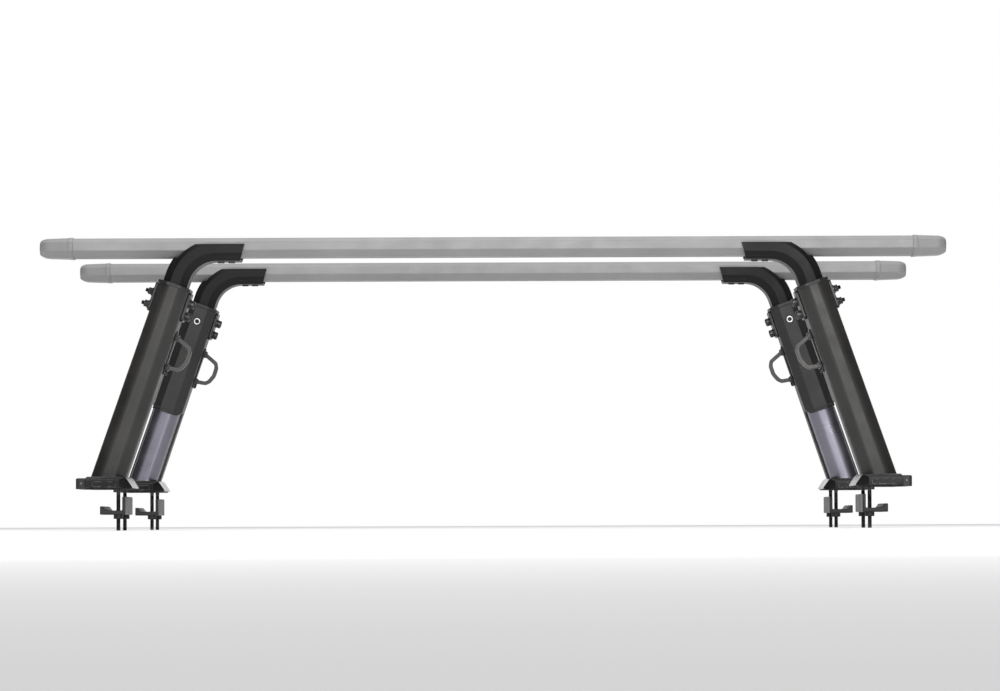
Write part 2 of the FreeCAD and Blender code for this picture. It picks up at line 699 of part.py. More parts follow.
def saddle_pad(tower):
    """Rubber cradle between the arm and the crossbar."""
    floor = "Dims.arm_axis_z - Dims.arm_x + Dims.arm_wall"
    inner_cut = "(Dims.arm_cut - 0.586 * Dims.arm_wall)"
    wall = "Dims.arm_y - Dims.arm_wall - 0.05"
    form = prism("saddle_form", "YZ_Plane", [mirrored([
        (f"{wall} - {inner_cut}", floor), (wall, f"{floor} + {inner_cut}"),
        (wall, "Dims.cheek_z - 0.6"), ("Dims.bar_y + 0.4", "Dims.cheek_z - 0.6"),
        ("Dims.bar_y + 0.4", "Dims.bar_z + 12.9"), ("Dims.bar_y - 12.8", "Dims.bar_z - 0.3")])],
        "44", "-254")
    holes = [rod("saddle_pad_hole", "Z", "4.1", "Dims.arm_axis_z - 40", "60", x=f"-{distance}")
             for distance in ("Dims.saddle_far", "Dims.saddle_near")]
    return cut("saddle_pad", form, *holes)


def saddle_bolts(tower):
    """T-headed bolts that hold the crossbar's lower slot."""
    bolts = []
    for distance in ("Dims.saddle_far", "Dims.saddle_near"):
        under = "Dims.arm_axis_z - Dims.arm_x"
        head = rod("saddle_head", "Z", "6.5", f"{under} - 2.6", "2.6", x=f"-{distance}")
        shank = rod("saddle_shank", "Z", "3.9", f"{under} - 1", "Dims.bar_z + 5 - 433",
                    x=f"-{distance}")
        tee = block("saddle_tee", f"-{distance} - 7", f"7 - {distance}", "-8.2", "8.2",
                    "Dims.bar_z + 3", "Dims.bar_z + 8")
        bolts.append(fuse("saddle_bolt", head, shank, tee))
    pair = doc.addObject("Part::Compound", "saddle_bolt_pair")
    pair.Links = bolts
    return pair


# ---------------------------------------------------------------------------
# Crossbars
# ---------------------------------------------------------------------------

def bar_rim(grow):
    """Outline of the crossbar, larger all round by grow."""
    return mirrored([
        (f"Dims.bar_y - Dims.bar_cut + 0.414 * {grow}", f"-({grow})"),
        (f"Dims.bar_y + {grow}", f"Dims.bar_cut - 0.414 * {grow}"),
        (f"Dims.bar_y + {grow}", f"Dims.bar_tall - Dims.bar_drop + 0.3 * {grow}"),
        (f"Dims.bar_y - Dims.bar_slope + 0.25 * {grow}", f"Dims.bar_tall + {grow}")])


def side_chamber(gap, side):
    """Outline of a bar's hollow side chamber, smaller all round by gap."""
    right = [
        (f"12.5 + {gap}", f"2.5 + {gap}"),
        (f"Dims.bar_y - Dims.bar_cut - 1 - 0.4 * {gap}", f"2.5 + {gap}"),
        (f"Dims.bar_y - 2.5 - {gap}", f"Dims.bar_cut + 1 + 0.4 * {gap}"),
        (f"Dims.bar_y - 2.5 - {gap}", f"Dims.bar_tall - 9 - 0.3 * {gap}"),
        (f"Dims.bar_y - 14.5 - 0.3 * {gap}", f"Dims.bar_tall - 2.5 - {gap}"),
        (f"13 + {gap}", f"Dims.bar_tall - 2.5 - {gap}")]
    return [(f"{side} * ({y})", z) for y, z in right]


def crossbar(row):
    """Extruded bar with a wide slot on top, a T-slot below and three hollow chambers."""
    right = [
        ("4.5", "0"), ("Dims.bar_y - Dims.bar_cut", "0"), ("Dims.bar_y", "Dims.bar_cut"),
        ("Dims.bar_y", "Dims.bar_tall - Dims.bar_drop"),
        ("Dims.bar_y - Dims.bar_slope", "Dims.bar_tall"),
        ("5.5", "Dims.bar_tall"), ("5.5", "Dims.bar_tall - 2.2"),
        ("10.5", "Dims.bar_tall - 2.2"), ("10.5", "Dims.bar_tall - 7.5")]
    tee = [("9", "8.5"), ("9", "2.5"), ("4.5", "2.5")]
    rim = right + [(f"-({x})", z) for x, z in reversed(right)]
    rim += [(f"-({x})", z) for x, z in reversed(tee)] + tee
    middle = mirrored([("9.5", "11"), ("9.5", "Dims.bar_tall - 10")])
    chambers = [side_chamber("0", 1), side_chamber("0", -1), middle]
    bar = prism("crossbar", "YZ_Plane", [rim, *chambers], "2 * Dims.bar_end", both_ways=True)
    return at(bar, "0", f"{row} * Dims.row_y", "Dims.bar_z")


def bar_end_cap_pair(row):
    """Moulded caps on both ends of a bar: a hollow tapered nose on two plugs."""
    def nose(scale):
        middle = "(Dims.bar_tall / 2)"
        return [(f"({y}) * {scale}", f"{middle} + (({z}) - {middle}) * {scale}")
                for y, z in bar_rim("1.4")]
    run = "(Dims.cap_end - Dims.bar_end)"
    form = taper("cap_nose", "YZ_Plane", [
        ("Dims.bar_end", nose("1")), (f"Dims.bar_end + 0.72 * {run}", nose("0.92")),
        (f"Dims.bar_end + 0.93 * {run}", nose("0.79")), ("Dims.cap_end", nose("0.6"))])
    hollow = prism("cap_hollow", "YZ_Plane", [bar_rim("(-3)")], f"0.5 * {run} + 2",
                   "Dims.bar_end - 2")
    plugs = [prism("cap_plug", "YZ_Plane", [side_chamber("0.4", side)],
                   f"Dims.cap_plug + 0.6 * {run}", "Dims.bar_end - Dims.cap_plug")
             for side in (1, -1)]
    cap = fuse("bar_end_cap", cut("cap_shell", form, hollow), *plugs)
    other = doc.addObject("Part::Mirroring", "bar_end_cap_mirrored")
    other.Source = cap
    other.Normal = Vector(1, 0, 0)
    pair = doc.addObject("Part::Compound", "bar_end_caps")
    pair.Links = [cap, other]
    return at(pair, "0", f"{row} * Dims.row_y", "Dims.bar_z")


def bar_strip(row):
    """Rubber strip in the bar's upper slot."""
    strip = prism("bar_strip", "YZ_Plane", [mirrored([
        ("10.2", "Dims.bar_tall - 7.3"), ("10.2", "Dims.bar_tall - 2.4"),
        ("5.3", "Dims.bar_tall - 2.4"), ("5.3", "Dims.bar_tall - 0.2")])],
        "2 * Dims.bar_end - 3", both_ways=True)
    return at(strip, "0", f"{row} * Dims.row_y", "Dims.bar_z")


# ---------------------------------------------------------------------------
# The rack
# ---------------------------------------------------------------------------

on_every_tower("foot", foot, leaning=False)
on_every_tower("rail_jaw", rail_jaw, leaning=False)
on_every_tower("mast", mast)
on_every_tower("outer_shell", outer_shell, by_row=True)
on_every_tower("lock_cover", lock_cover, by_row=True)
on_every_tower("lock_plug", lock_plug, by_row=True)
on_every_tower("tie_down_loop", tie_down_loop)
on_every_tower("arm", arm)
on_every_tower("saddle_pad", saddle_pad, leaning=False)
on_every_tower("saddle_bolts", saddle_bolts, leaning=False)
group_on_towers("foot_pads", foot_pad, leaning=False)
group_on_towers("foot_end_caps", foot_end_cap, leaning=False)
group_on_towers("foot_cap_screws", foot_cap_screw, leaning=False)
group_on_towers("jaw_bolts", jaw_bolts, leaning=False)
group_on_towers("collars", collar, by_row=True)
group_on_towers("mast_glides", mast_glide)
group_on_towers("clamp_plates", clamp_plates)
group_on_towers("clamp_bolts", clamp_bolts)
group_on_towers("clamp_washers", clamp_washers)
group_on_towers("clamp_nuts", clamp_nuts)
group_on_towers("lock_barrels", lock_barrel, by_row=True)
group_on_towers("loop_brackets", loop_bracket)
group_on_towers("loop_screws", loop_screw)
for row_name, row_side in (("rear", -1), ("front", 1)):
    finish(crossbar(row_side), f"crossbar_{row_name}")
    finish(bar_end_cap_pair(row_side), f"bar_end_caps_{row_name}")
    finish(bar_strip(row_side), f"bar_strip_{row_name}")

doc.recompute()

faults = [item.Label for item in doc.Objects if {"Invalid", "Error"} & set(item.State)]
faults += [item.Label for item in nodes if item.Shape.isNull() or not item.Shape.isValid()]
if faults:
    raise SystemExit(f"failed objects: {faults}")

os.makedirs("parts", exist_ok=True)
for item in nodes:
    item.Shape.exportStep(f"parts/{item.Label}.step")
    box = item.Shape.BoundBox
    print(f"{item.Label}: {len(item.Shape.Solids)} solids, {item.Shape.Volume / 1000:.1f} cm3, "
          f"x {box.XMin:.1f} {box.XMax:.1f}, y {box.YMin:.1f} {box.YMax:.1f}, "
          f"z {box.ZMin:.1f} {box.ZMax:.1f}")
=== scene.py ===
"""Looks of the pickup bed ladder rack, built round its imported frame."""
import json
import logging
import math
from dataclasses import dataclass
from enum import Enum
from typing import Callable, Sequence

import bmesh
import bpy
from mathutils import Matrix, Vector


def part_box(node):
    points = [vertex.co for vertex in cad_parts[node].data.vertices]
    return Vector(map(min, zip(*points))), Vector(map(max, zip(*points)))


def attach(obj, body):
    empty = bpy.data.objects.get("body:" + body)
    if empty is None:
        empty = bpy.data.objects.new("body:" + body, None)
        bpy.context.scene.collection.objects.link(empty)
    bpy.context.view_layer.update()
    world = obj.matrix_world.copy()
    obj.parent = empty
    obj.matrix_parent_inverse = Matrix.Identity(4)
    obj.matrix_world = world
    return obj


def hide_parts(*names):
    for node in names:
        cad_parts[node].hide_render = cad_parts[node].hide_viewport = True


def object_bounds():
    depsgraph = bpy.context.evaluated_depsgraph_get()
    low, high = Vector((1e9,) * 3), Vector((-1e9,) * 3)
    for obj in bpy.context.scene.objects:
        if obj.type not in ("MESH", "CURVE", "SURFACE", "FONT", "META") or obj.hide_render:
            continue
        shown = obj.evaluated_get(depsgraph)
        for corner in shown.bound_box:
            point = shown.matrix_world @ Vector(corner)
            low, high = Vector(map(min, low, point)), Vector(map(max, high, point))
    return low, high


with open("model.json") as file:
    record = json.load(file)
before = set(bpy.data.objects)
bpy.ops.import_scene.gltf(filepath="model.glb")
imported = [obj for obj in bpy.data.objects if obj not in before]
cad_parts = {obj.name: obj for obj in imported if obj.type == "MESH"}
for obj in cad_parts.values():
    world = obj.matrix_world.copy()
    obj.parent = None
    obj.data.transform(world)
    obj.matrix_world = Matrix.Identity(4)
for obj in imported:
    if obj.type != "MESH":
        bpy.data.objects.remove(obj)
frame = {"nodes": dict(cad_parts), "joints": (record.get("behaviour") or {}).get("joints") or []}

MM = 0.001
MERGE = 1e-6
NEAR = 1e-5
SHARP = math.radians(50)
BEVELLED = math.radians(28)
WALL_INSET = 0.586
MITRE = 0.414
THREAD_PITCH = 1.25 * MM
TOWERS = "tower_frames"
LOG = logging.getLogger("ladder_rack")
CAD_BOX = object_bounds()

Point2 = tuple[float, float]


class Axis(Enum):
    """Direction in which a flat outline is drawn out."""

    X = Vector((1, 0, 0))
    Y = Vector((0, 1, 0))
    Z = Vector((0, 0, 1))

    def lift(self, across: float, up: float, along: float) -> Vector:
        """Place a point of an outline in space.

        Args:
            across: First coordinate in the outline.
            up: Second coordinate in the outline.
            along: Coordinate along this direction.

        Returns:
            The point.
        """
        if self is Axis.X:
            return Vector((along, across, up))
        if self is Axis.Y:
            return Vector((across, along, up))
        return Vector((across, up, along))


# ---------------------------------------------------------------------------
# Finishes
# ---------------------------------------------------------------------------

class NodeBench:
    """Short ways to add and link the nodes of one material."""

    def __init__(self, name: str) -> None:
        """Start an empty material.

        Args:
            name: Name of the material.
        """
        self.material = bpy.data.materials.new(name)
        self.material.use_nodes = True
        self.tree = self.material.node_tree
        self.shader = self.tree.nodes["Principled BSDF"]
        self.coordinates = self.tree.nodes.new("ShaderNodeTexCoord").outputs["Object"]

    def add(self, kind: str, **settings: object) -> bpy.types.Node:
        """Add a node.

        Args:
            kind: Node type without its ShaderNode prefix.
            settings: Properties of the node.

        Returns:
            The new node.
        """
        node = self.tree.nodes.new(f"ShaderNode{kind}")
        for key, value in settings.items():
            setattr(node, key, value)
        return node

    def link(self, source: bpy.types.NodeSocket, target: bpy.types.NodeSocket) -> None:
        """Connect two sockets."""
        self.tree.links.new(source, target)

    def stretched(self, scale: Sequence[float]) -> bpy.types.NodeSocket:
        """Give object coordinates stretched by a scale.

        Args:
            scale: Scale along each axis.

        Returns:
            The coordinates.
        """
        mapping = self.add("Mapping")
        mapping.inputs["Scale"].default_value = scale
        self.link(self.coordinates, mapping.inputs["Vector"])
        return mapping.outputs["Vector"]

    def noise(self, scale: float, detail: float = 2.0,
              vector: bpy.types.NodeSocket | None = None) -> bpy.types.NodeSocket:
        """Add a noise pattern.

        Args:
            scale: Number of spots per metre.
            detail: Octaves of the noise.
            vector: Coordinates to read; plain object coordinates if none are given.

        Returns:
            The noise's value.
        """
        node = self.add("TexNoise")
        node.inputs["Scale"].default_value = scale
        node.inputs["Detail"].default_value = detail
        self.link(vector or self.coordinates, node.inputs["Vector"])
        return node.outputs["Fac"]

    def between(self, source: bpy.types.NodeSocket, low: float, high: float,
                to_low: float, to_high: float) -> bpy.types.NodeSocket:
        """Map a value from one range to another.

        Args:
            source: The value.
            low: Where its range starts.
            high: Where its range ends.
            to_low: Where the new range starts.
            to_high: Where the new range ends.

        Returns:
            The mapped value.
        """
        node = self.add("MapRange")
        for key, value in (("From Min", low), ("From Max", high), ("To Min", to_low),
                           ("To Max", to_high)):
            node.inputs[key].default_value = value
        self.link(source, node.inputs["Value"])
        return node.outputs["Result"]

    def blend(self, factor: bpy.types.NodeSocket, first: Sequence[float] | bpy.types.NodeSocket,
              second: Sequence[float] | bpy.types.NodeSocket) -> bpy.types.NodeSocket:
        """Mix two colours by a factor.

        Args:
            factor: Share of the second colour, from 0 to 1.
            first: First colour, fixed or from a node.
            second: Second colour, fixed or from a node.

        Returns:
            The mixed colour.
        """
        node = self.add("Mix", data_type="RGBA")
        self.link(factor, node.inputs["Factor"])
        for colour, key in ((first, 6), (second, 7)):
            if isinstance(colour, bpy.types.NodeSocket):
                self.link(colour, node.inputs[key])
            else:
                node.inputs[key].default_value = (*colour[:3], 1.0)
        return node.outputs[2]

    def rims(self, radius: float) -> bpy.types.NodeSocket:
        """Give a mask that is 1 on edges within a radius and 0 on flat faces.

        Args:
            radius: How far from an edge the mask reaches.

        Returns:
            The mask.
        """
        bevel = self.add("Bevel", samples=4)
        bevel.inputs["Radius"].default_value = radius
        geometry = self.add("NewGeometry")
        dot = self.add("VectorMath", operation="DOT_PRODUCT")
        self.link(bevel.outputs["Normal"], dot.inputs[0])
        self.link(geometry.outputs["Normal"], dot.inputs[1])
        flat = 0.995
        turned = 0.90
        return self.between(dot.outputs["Value"], flat, turned, 0.0, 1.0)

    def bump(self, height: bpy.types.NodeSocket, distance: float, strength: float) -> None:
        """Raise the surface by a height pattern.

        Args:
            height: The height pattern.
            distance: Height at full value.
            strength: Share of it that shows.
        """
        node = self.add("Bump")
        node.inputs["Distance"].default_value = distance
        node.inputs["Strength"].default_value = strength
        self.link(height, node.inputs["Height"])
        self.link(node.outputs["Normal"], self.shader.inputs["Normal"])


@dataclass(frozen=True)
class Finish:
    """A surface finish and the record's slot that it stands for.

    The grain, the cloud of lighter tone, the smear of gloss and the patches of edge colour are given
    in spots per metre, and depths in metres. The edge colour is partly wear and partly a painted
    highlight that lightens the edges.
    """

    slot: str
    colour: tuple[float, float, float]
    light: tuple[float, float, float]
    roughness: float
    metallic: float = 0.0
    grain: float = 900.0
    grain_depth: float = 0.00012
    grain_strength: float = 0.35
    stretch: tuple[float, float, float] = (1.0, 1.0, 1.0)
    edge_wear_and_highlight: tuple[float, float, float] | None = None
    edge_wear_and_highlight_amount: float = 0.5
    coat: float = 0.0
    coat_roughness: float = 0.12
    specular: float = 0.5
    cloud: float = 9.0
    smear: float = 26.0
    patch: float = 60.0
    rim: float = 1.2 * MM

    def material(self) -> bpy.types.Material:
        """Make the material once and hand out the same one afterwards.

        Returns:
            The finish's material.
        """
        name = f"{self.slot}_look"
        known = bpy.data.materials.get(name)
        if known:
            return known
        bench = NodeBench(name)
        shader = bench.shader
        shader.inputs["Metallic"].default_value = self.metallic
        shader.inputs["Coat Weight"].default_value = self.coat
        shader.inputs["Coat Roughness"].default_value = self.coat_roughness
        shader.inputs["Specular IOR Level"].default_value = self.specular
        cloud = bench.between(bench.noise(self.cloud, 4.0), 0.3, 0.7, 0.0, 1.0)
        colour = bench.blend(cloud, self.colour, self.light)
        fine = bench.noise(self.grain, 3.0, bench.stretched(self.stretch))
        speck = bench.between(fine, 0.5, 0.72, 0.0, 0.7)
        colour = bench.blend(speck, colour, self.light)
        rough = bench.between(bench.noise(self.smear, 3.0), 0.3, 0.7, self.roughness - 0.05,
                              self.roughness + 0.07)
        # Edge colour where the rim mask is high: partly wear, partly a painted highlight that lightens
        # the edges.
        if self.edge_wear_and_highlight:
            patch = bench.between(bench.noise(self.patch, 5.0), 0.42, 0.62, 0.0,
                                  self.edge_wear_and_highlight_amount)
            edge_wear_and_highlight_mask = bench.add("Math", operation="MULTIPLY")
            bench.link(bench.rims(self.rim), edge_wear_and_highlight_mask.inputs[0])
            bench.link(patch, edge_wear_and_highlight_mask.inputs[1])
            colour = bench.blend(edge_wear_and_highlight_mask.outputs[0], colour, self.edge_wear_and_highlight)
        bench.link(colour, shader.inputs["Base Color"])
        bench.link(rough, shader.inputs["Roughness"])
        bench.bump(fine, self.grain_depth, self.grain_strength)
        return bench.material


TOWER_COAT = Finish("tower_powder_coat", (0.0160, 0.0152, 0.0145),
                    (0.0300, 0.0285, 0.0270), 0.40, grain=620, edge_wear_and_highlight=(0.09, 0.088, 0.085),
                    edge_wear_and_highlight_amount=0.35, specular=0.42)
ARM_COAT = Finish("arm_powder_coat", (0.0055, 0.0055, 0.0059), (0.0105, 0.0105, 0.0110), 0.40,
                  grain=620, edge_wear_and_highlight=(0.09, 0.09, 0.092), edge_wear_and_highlight_amount=0.4, specular=0.16)
COVER_PLASTIC = Finish("cover_plastic", (0.0150, 0.0146, 0.0142),
                       (0.0215, 0.0210, 0.0205), 0.44, grain=2600, grain_depth=0.00006, specular=0.4)
MAST_COAT = Finish("mast_anodised", (0.170, 0.165, 0.198), (0.208, 0.202, 0.238), 0.30,
                   metallic=0.9, grain=1800, grain_depth=0.00002, stretch=(1.0, 1.0, 0.02),
                   edge_wear_and_highlight=(0.14, 0.13, 0.15), edge_wear_and_highlight_amount=0.3)
# The foot's pale edge colour is a painted highlight: light lines along its glossy edges.
FOOT_GLOSS = Finish("cast_gloss_black", (0.0050, 0.0050, 0.0055), (0.0085, 0.0085, 0.0092),
                    0.17, grain=240, grain_depth=0.00015, grain_strength=0.12,
                    edge_wear_and_highlight=(0.4, 0.4, 0.43), edge_wear_and_highlight_amount=0.6, coat=0.08, specular=0.25)
CAP_PLASTIC = Finish("cap_plastic", (0.0070, 0.0070, 0.0074),
                     (0.0115, 0.0115, 0.0119), 0.5, grain=2200, grain_depth=0.00006)
RUBBER = Finish("rubber", (0.012, 0.012, 0.012), (0.02, 0.02, 0.02), 0.8, grain=1300,
                grain_depth=0.0001, specular=0.3)
PLATE_COAT = Finish("plate_black", (0.0080, 0.0080, 0.0083), (0.0135, 0.0135, 0.0140),
                    0.34, grain=1500, edge_wear_and_highlight=(0.12, 0.12, 0.12), edge_wear_and_highlight_amount=0.5)
JAW_COAT = Finish("jaw_black", (0.0080, 0.0080, 0.0084), (0.0130, 0.0130, 0.0136), 0.42,
                  grain=700, grain_depth=0.0002, edge_wear_and_highlight=(0.12, 0.12, 0.12), edge_wear_and_highlight_amount=0.6, specular=0.35)
LOOP_COAT = Finish("loop_grey", (0.0380, 0.0335, 0.0325), (0.0540, 0.0480, 0.0460), 0.36,
                   grain=1200, edge_wear_and_highlight=(0.2, 0.19, 0.18), edge_wear_and_highlight_amount=0.45)
DARK_STEEL = Finish("dark_steel", (0.032, 0.032, 0.034), (0.055, 0.055, 0.058),
                    0.28, metallic=0.85, grain=1600, grain_depth=0.00002,
                    edge_wear_and_highlight=(0.35, 0.35, 0.36), edge_wear_and_highlight_amount=0.5)
BRIGHT_STEEL = Finish("bright_steel", (0.40, 0.40, 0.41), (0.50, 0.50, 0.51), 0.28, metallic=1.0,
                      grain=2500, grain_depth=0.00001)
LOCK_CORE = Finish("lock_core", (0.012, 0.012, 0.012), (0.02, 0.02, 0.02), 0.3,
                   metallic=0.8, grain=2500, grain_depth=0.00001)
GLIDE_PLASTIC = Finish("glide_plastic", (0.02, 0.02, 0.02),
                       (0.03, 0.03, 0.03), 0.45, grain=1500)
BAR_ALUMINIUM = Finish("bar_anodised", (0.240, 0.240, 0.243), (0.285, 0.285, 0.288), 0.48,
                       metallic=0.3, grain=1400, grain_depth=0.00002, stretch=(0.02, 1.0, 1.0),
                       edge_wear_and_highlight=(0.62, 0.62, 0.63), edge_wear_and_highlight_amount=0.4)
BAR_CAP = Finish("bar_cap_plastic", (0.215, 0.214, 0.215), (0.26, 0.259, 0.26), 0.42, grain=2000,
                 grain_depth=0.00006)
BAR_RUBBER = Finish("bar_rubber", (0.06, 0.06, 0.062), (0.085, 0.085, 0.088), 0.75,
                    grain=1300, grain_depth=0.0001, specular=0.3)


# ---------------------------------------------------------------------------
# Shaping
# ---------------------------------------------------------------------------

class Form:
    """A closed mesh being shaped, with the cuts and sweeps that the pieces share."""

    def __init__(self) -> None:
        """Start with nothing."""
        self.mesh = bmesh.new()

    @classmethod
    def prism(cls, corners: Sequence[Point2], low: float, high: float,
              along: Axis = Axis.Z) -> "Form":
        """Draw an outline out into a prism.

        Args:
            corners: Corners of the outline.
            low: Where the prism starts.
            high: Where it ends.
            along: Direction in which it is drawn out.

        Returns:
            The closed prism.
        """
        form = cls()
        face = form.mesh.faces.new([form.mesh.verts.new(along.lift(a, b, low))
                                    for a, b in corners])
        form.grow([face], Matrix.Translation(along.value * (high - low)), closed=False)
        return form

    @classmethod
    def box(cls, low: Sequence[float], high: Sequence[float]) -> "Form":
        """Make a box between two corners.

        Args:
            low: Its lowest corner.
            high: Its highest corner.

        Returns:
            The box.
        """
        form = cls()
        bmesh.ops.create_cube(form.mesh, size=1)
        bmesh.ops.scale(form.mesh, vec=Vector(high) - Vector(low), verts=form.mesh.verts[:])
        return form.place(Matrix.Translation((Vector(high) + Vector(low)) / 2))

    @classmethod
    def ring(cls, outer: Sequence[Point2], inner: Sequence[Point2], low: float,
             high: float) -> "Form":
        """Draw two nested outlines of as many corners out into a tube along Z.

        Args:
            outer: Corners of the outer outline.
            inner: Corners of the inner outline.
            low: Where the tube starts.
            high: Where it ends.

        Returns:
            The tube with closed walls.
        """
        form = cls()
        loops = []
        for corners in (outer, inner):
            verts = [form.mesh.verts.new((a, b, low)) for a, b in corners]
            loops += [form.mesh.edges.new((verts[i - 1], verts[i])) for i in range(len(verts))]
        faces = bmesh.ops.bridge_loops(form.mesh, edges=loops)["faces"]
        form.grow(faces, Matrix.Translation((0, 0, high - low)), closed=False)
        return form

    @classmethod
    def loft(cls, sections: Sequence[tuple[float, Sequence[Point2]]],
             along: Axis = Axis.Z) -> "Form":
        """Join outlines of as many corners, each at its own place, and close both ends.

        Args:
            sections: Place and outline of each section, in order.
            along: Direction in which the sections follow each other.

        Returns:
            The closed solid.
        """
        form = cls()
        rims = []
        for place, corners in sections:
            verts = [form.mesh.verts.new(along.lift(a, b, place)) for a, b in corners]
            rims.append([form.mesh.edges.new((verts[i - 1], verts[i]))
                         for i in range(len(verts))])
        for first, second in zip(rims, rims[1:]):
            bmesh.ops.bridge_loops(form.mesh, edges=first + second)
        for rim in (rims[0], rims[-1]):
            bmesh.ops.edgeloop_fill(form.mesh, edges=rim)
        return form

    @classmethod
    def rod(cls, radius: float, low: float, high: float, centre: Point2 = (0, 0),
            along: Axis = Axis.Z, sides: int = 40) -> "Form":
        """Make a round or many-sided rod.

        Args:
            radius: Radius of the rod.
            low: Where the rod starts.
            high: Where it ends.
            centre: Its centre across the direction.
            along: Its direction.
            sides: Number of sides.

        Returns:
            The closed rod.
        """
        form = cls()
        turn = Vector((0, 0, 1)).rotation_difference(along.value).to_matrix().to_4x4()
        middle = along.lift(centre[0], centre[1], (low + high) / 2)
        bmesh.ops.create_cone(form.mesh, cap_ends=True, segments=sides, radius1=radius,
                              radius2=radius, depth=high - low,
                              matrix=Matrix.Translation(middle) @ turn)
        return form

    @classmethod
    def lathe(cls, profile: Sequence[Point2], centre: Sequence[float] = (0, 0, 0),
              along: Axis = Axis.Z, steps: int = 40) -> "Form":
        """Turn a profile of radius and height about an axis.

        Args:
            profile: Points of radius and height, from axis to axis.
            centre: Point of the axis at height 0.
            along: Direction of the axis.
            steps: Segments of the turn.

        Returns:
            The closed solid of revolution.
        """
        form = cls()
        verts = [form.mesh.verts.new((radius, 0, height)) for radius, height in profile]
        edges = [form.mesh.edges.new(pair) for pair in zip(verts, verts[1:])]
        bmesh.ops.spin(form.mesh, geom=verts + edges, cent=(0, 0, 0), axis=(0, 0, 1),
                       angle=math.tau, steps=steps, use_merge=True)
        bmesh.ops.remove_doubles(form.mesh, verts=form.mesh.verts[:], dist=MERGE)
        turn = Vector((0, 0, 1)).rotation_difference(along.value).to_matrix().to_4x4()
        form.place(Matrix.Translation(centre) @ turn)
        return form

    def grow(self, faces: list[bmesh.types.BMFace], turn: Matrix,
             closed: bool = True) -> list[bmesh.types.BMFace]:
        """Extrude end faces and move them.

        Args:
            faces: The end faces.
            turn: How the new end faces are moved.
            closed: Whether the faces close a solid, so that they go once it grows.

        Returns:
            The new end faces.
        """
        made = bmesh.ops.extrude_face_region(self.mesh, geom=faces)["geom"]
        verts = [item for item in made if isinstance(item, bmesh.types.BMVert)]
        ends = [item for item in made if isinstance(item, bmesh.types.BMFace)]
        bmesh.ops.transform(self.mesh, matrix=turn, verts=verts)
        if closed:
            bmesh.ops.delete(self.mesh, geom=faces, context="FACES_KEEP_BOUNDARY")
        return ends

    def bend(self, faces: list[bmesh.types.BMFace], centre: Vector, angle: float,
             steps: int) -> list[bmesh.types.BMFace]:
        """Extrude end faces round an axis along Y.

        Args:
            faces: The end faces.
            centre: Point of the axis.
            angle: Angle of the whole bend, positive from +X towards +Z.
            steps: Number of short straight runs that make up the bend.

        Returns:
            The end faces after the bend.
        """
        turn = (Matrix.Translation(centre) @ Matrix.Rotation(-angle / steps, 4, "Y")
                @ Matrix.Translation(-centre))
        for _ in range(steps):
            faces = self.grow(faces, turn)
        return faces

    def slice(self, point: Sequence[float], normal: Sequence[float]) -> "Form":
        """Cut away what lies on the side that the normal points to, and close the cut.

        Args:
            point: A point of the cutting plane.
            normal: The plane's normal.

        Returns:
            The form itself.
        """
        geometry = self.mesh.verts[:] + self.mesh.edges[:] + self.mesh.faces[:]
        made = bmesh.ops.bisect_plane(self.mesh, geom=geometry, dist=1e-7, plane_co=point,
                                      plane_no=normal, clear_outer=True)["geom_cut"]
        rim = [item for item in made if isinstance(item, bmesh.types.BMEdge)]
        bmesh.ops.holes_fill(self.mesh, edges=rim, sides=0)
        return self

    def add(self, other: "Form") -> "Form":
        """Take in another form as a further shell.

        Args:
            other: The form to take in, which is used up.

        Returns:
            The form itself.
        """
        spare = bpy.data.meshes.new("spare")
        other.mesh.to_mesh(spare)
        other.mesh.free()
        self.mesh.from_mesh(spare)
        bpy.data.meshes.remove(spare)
        return self

    def carve(self, *cutters: "Form") -> "Form":
        """Take other forms away from this one.

        Args:
            cutters: Closed forms, which are used up.

        Returns:
            The form itself.
        """
        self.outwards()
        base = self._lend("carved")
        for cutter in cutters:
            cutter.outwards()
            tool = cutter._lend("cutter")
            modifier = base.modifiers.new("carve", "BOOLEAN")
            modifier.operation = "DIFFERENCE"
            modifier.solver = "EXACT"
            modifier.object = tool
        result = base.evaluated_get(bpy.context.evaluated_depsgraph_get())
        self.mesh = bmesh.new()
        self.mesh.from_mesh(result.to_mesh())
        for lent in [base] + [modifier.object for modifier in base.modifiers]:
            bpy.data.meshes.remove(lent.data)
        bmesh.ops.remove_doubles(self.mesh, verts=self.mesh.verts[:], dist=MERGE)
        bmesh.ops.dissolve_limit(self.mesh, angle_limit=math.radians(0.5),
                                 verts=self.mesh.verts[:], edges=self.mesh.edges[:])
        return self

    def _lend(self, name: str) -> bpy.types.Object:
        """Turn the mesh into a passing object, and let go of it.

        Args:
            name: Name of the object.

        Returns:
            The object.
        """
        mesh = bpy.data.meshes.new(name)
        self.mesh.to_mesh(mesh)
        self.mesh.free()
        lent = bpy.data.objects.new(name, mesh)
        bpy.context.scene.collection.objects.link(lent)
        return lent

    def outwards(self) -> "Form":
        """Merge doubles and turn all faces outwards.

        Returns:
            The form itself.
        """
        bmesh.ops.remove_doubles(self.mesh, verts=self.mesh.verts[:], dist=MERGE)
        bmesh.ops.recalc_face_normals(self.mesh, faces=self.mesh.faces[:])
        return self

    def round(self, width: float, segments: int = 3,
              keep: Callable[[bmesh.types.BMEdge], bool] | None = None) -> "Form":
        """Bevel edges.

        Args:
            width: Width of the bevel.
            segments: Its segments.
            keep: Test for the edges to bevel; all edges sharper than 25 degrees if none.

        Returns:
            The form itself.
        """
        self.outwards()
        sharp = math.radians(25)
        edges = [edge for edge in self.mesh.edges if edge.is_manifold
                 and (keep(edge) if keep else edge.calc_face_angle() > sharp)]
        bmesh.ops.bevel(self.mesh, geom=edges, offset=width, offset_type="OFFSET",
                        segments=segments, profile=0.5, affect="EDGES", clamp_overlap=True,
                        material=-1)
        return self

    def place(self, matrix: Matrix) -> "Form":
        """Move the form by a matrix."""
        bmesh.ops.transform(self.mesh, matrix=matrix, verts=self.mesh.verts[:])
        return self

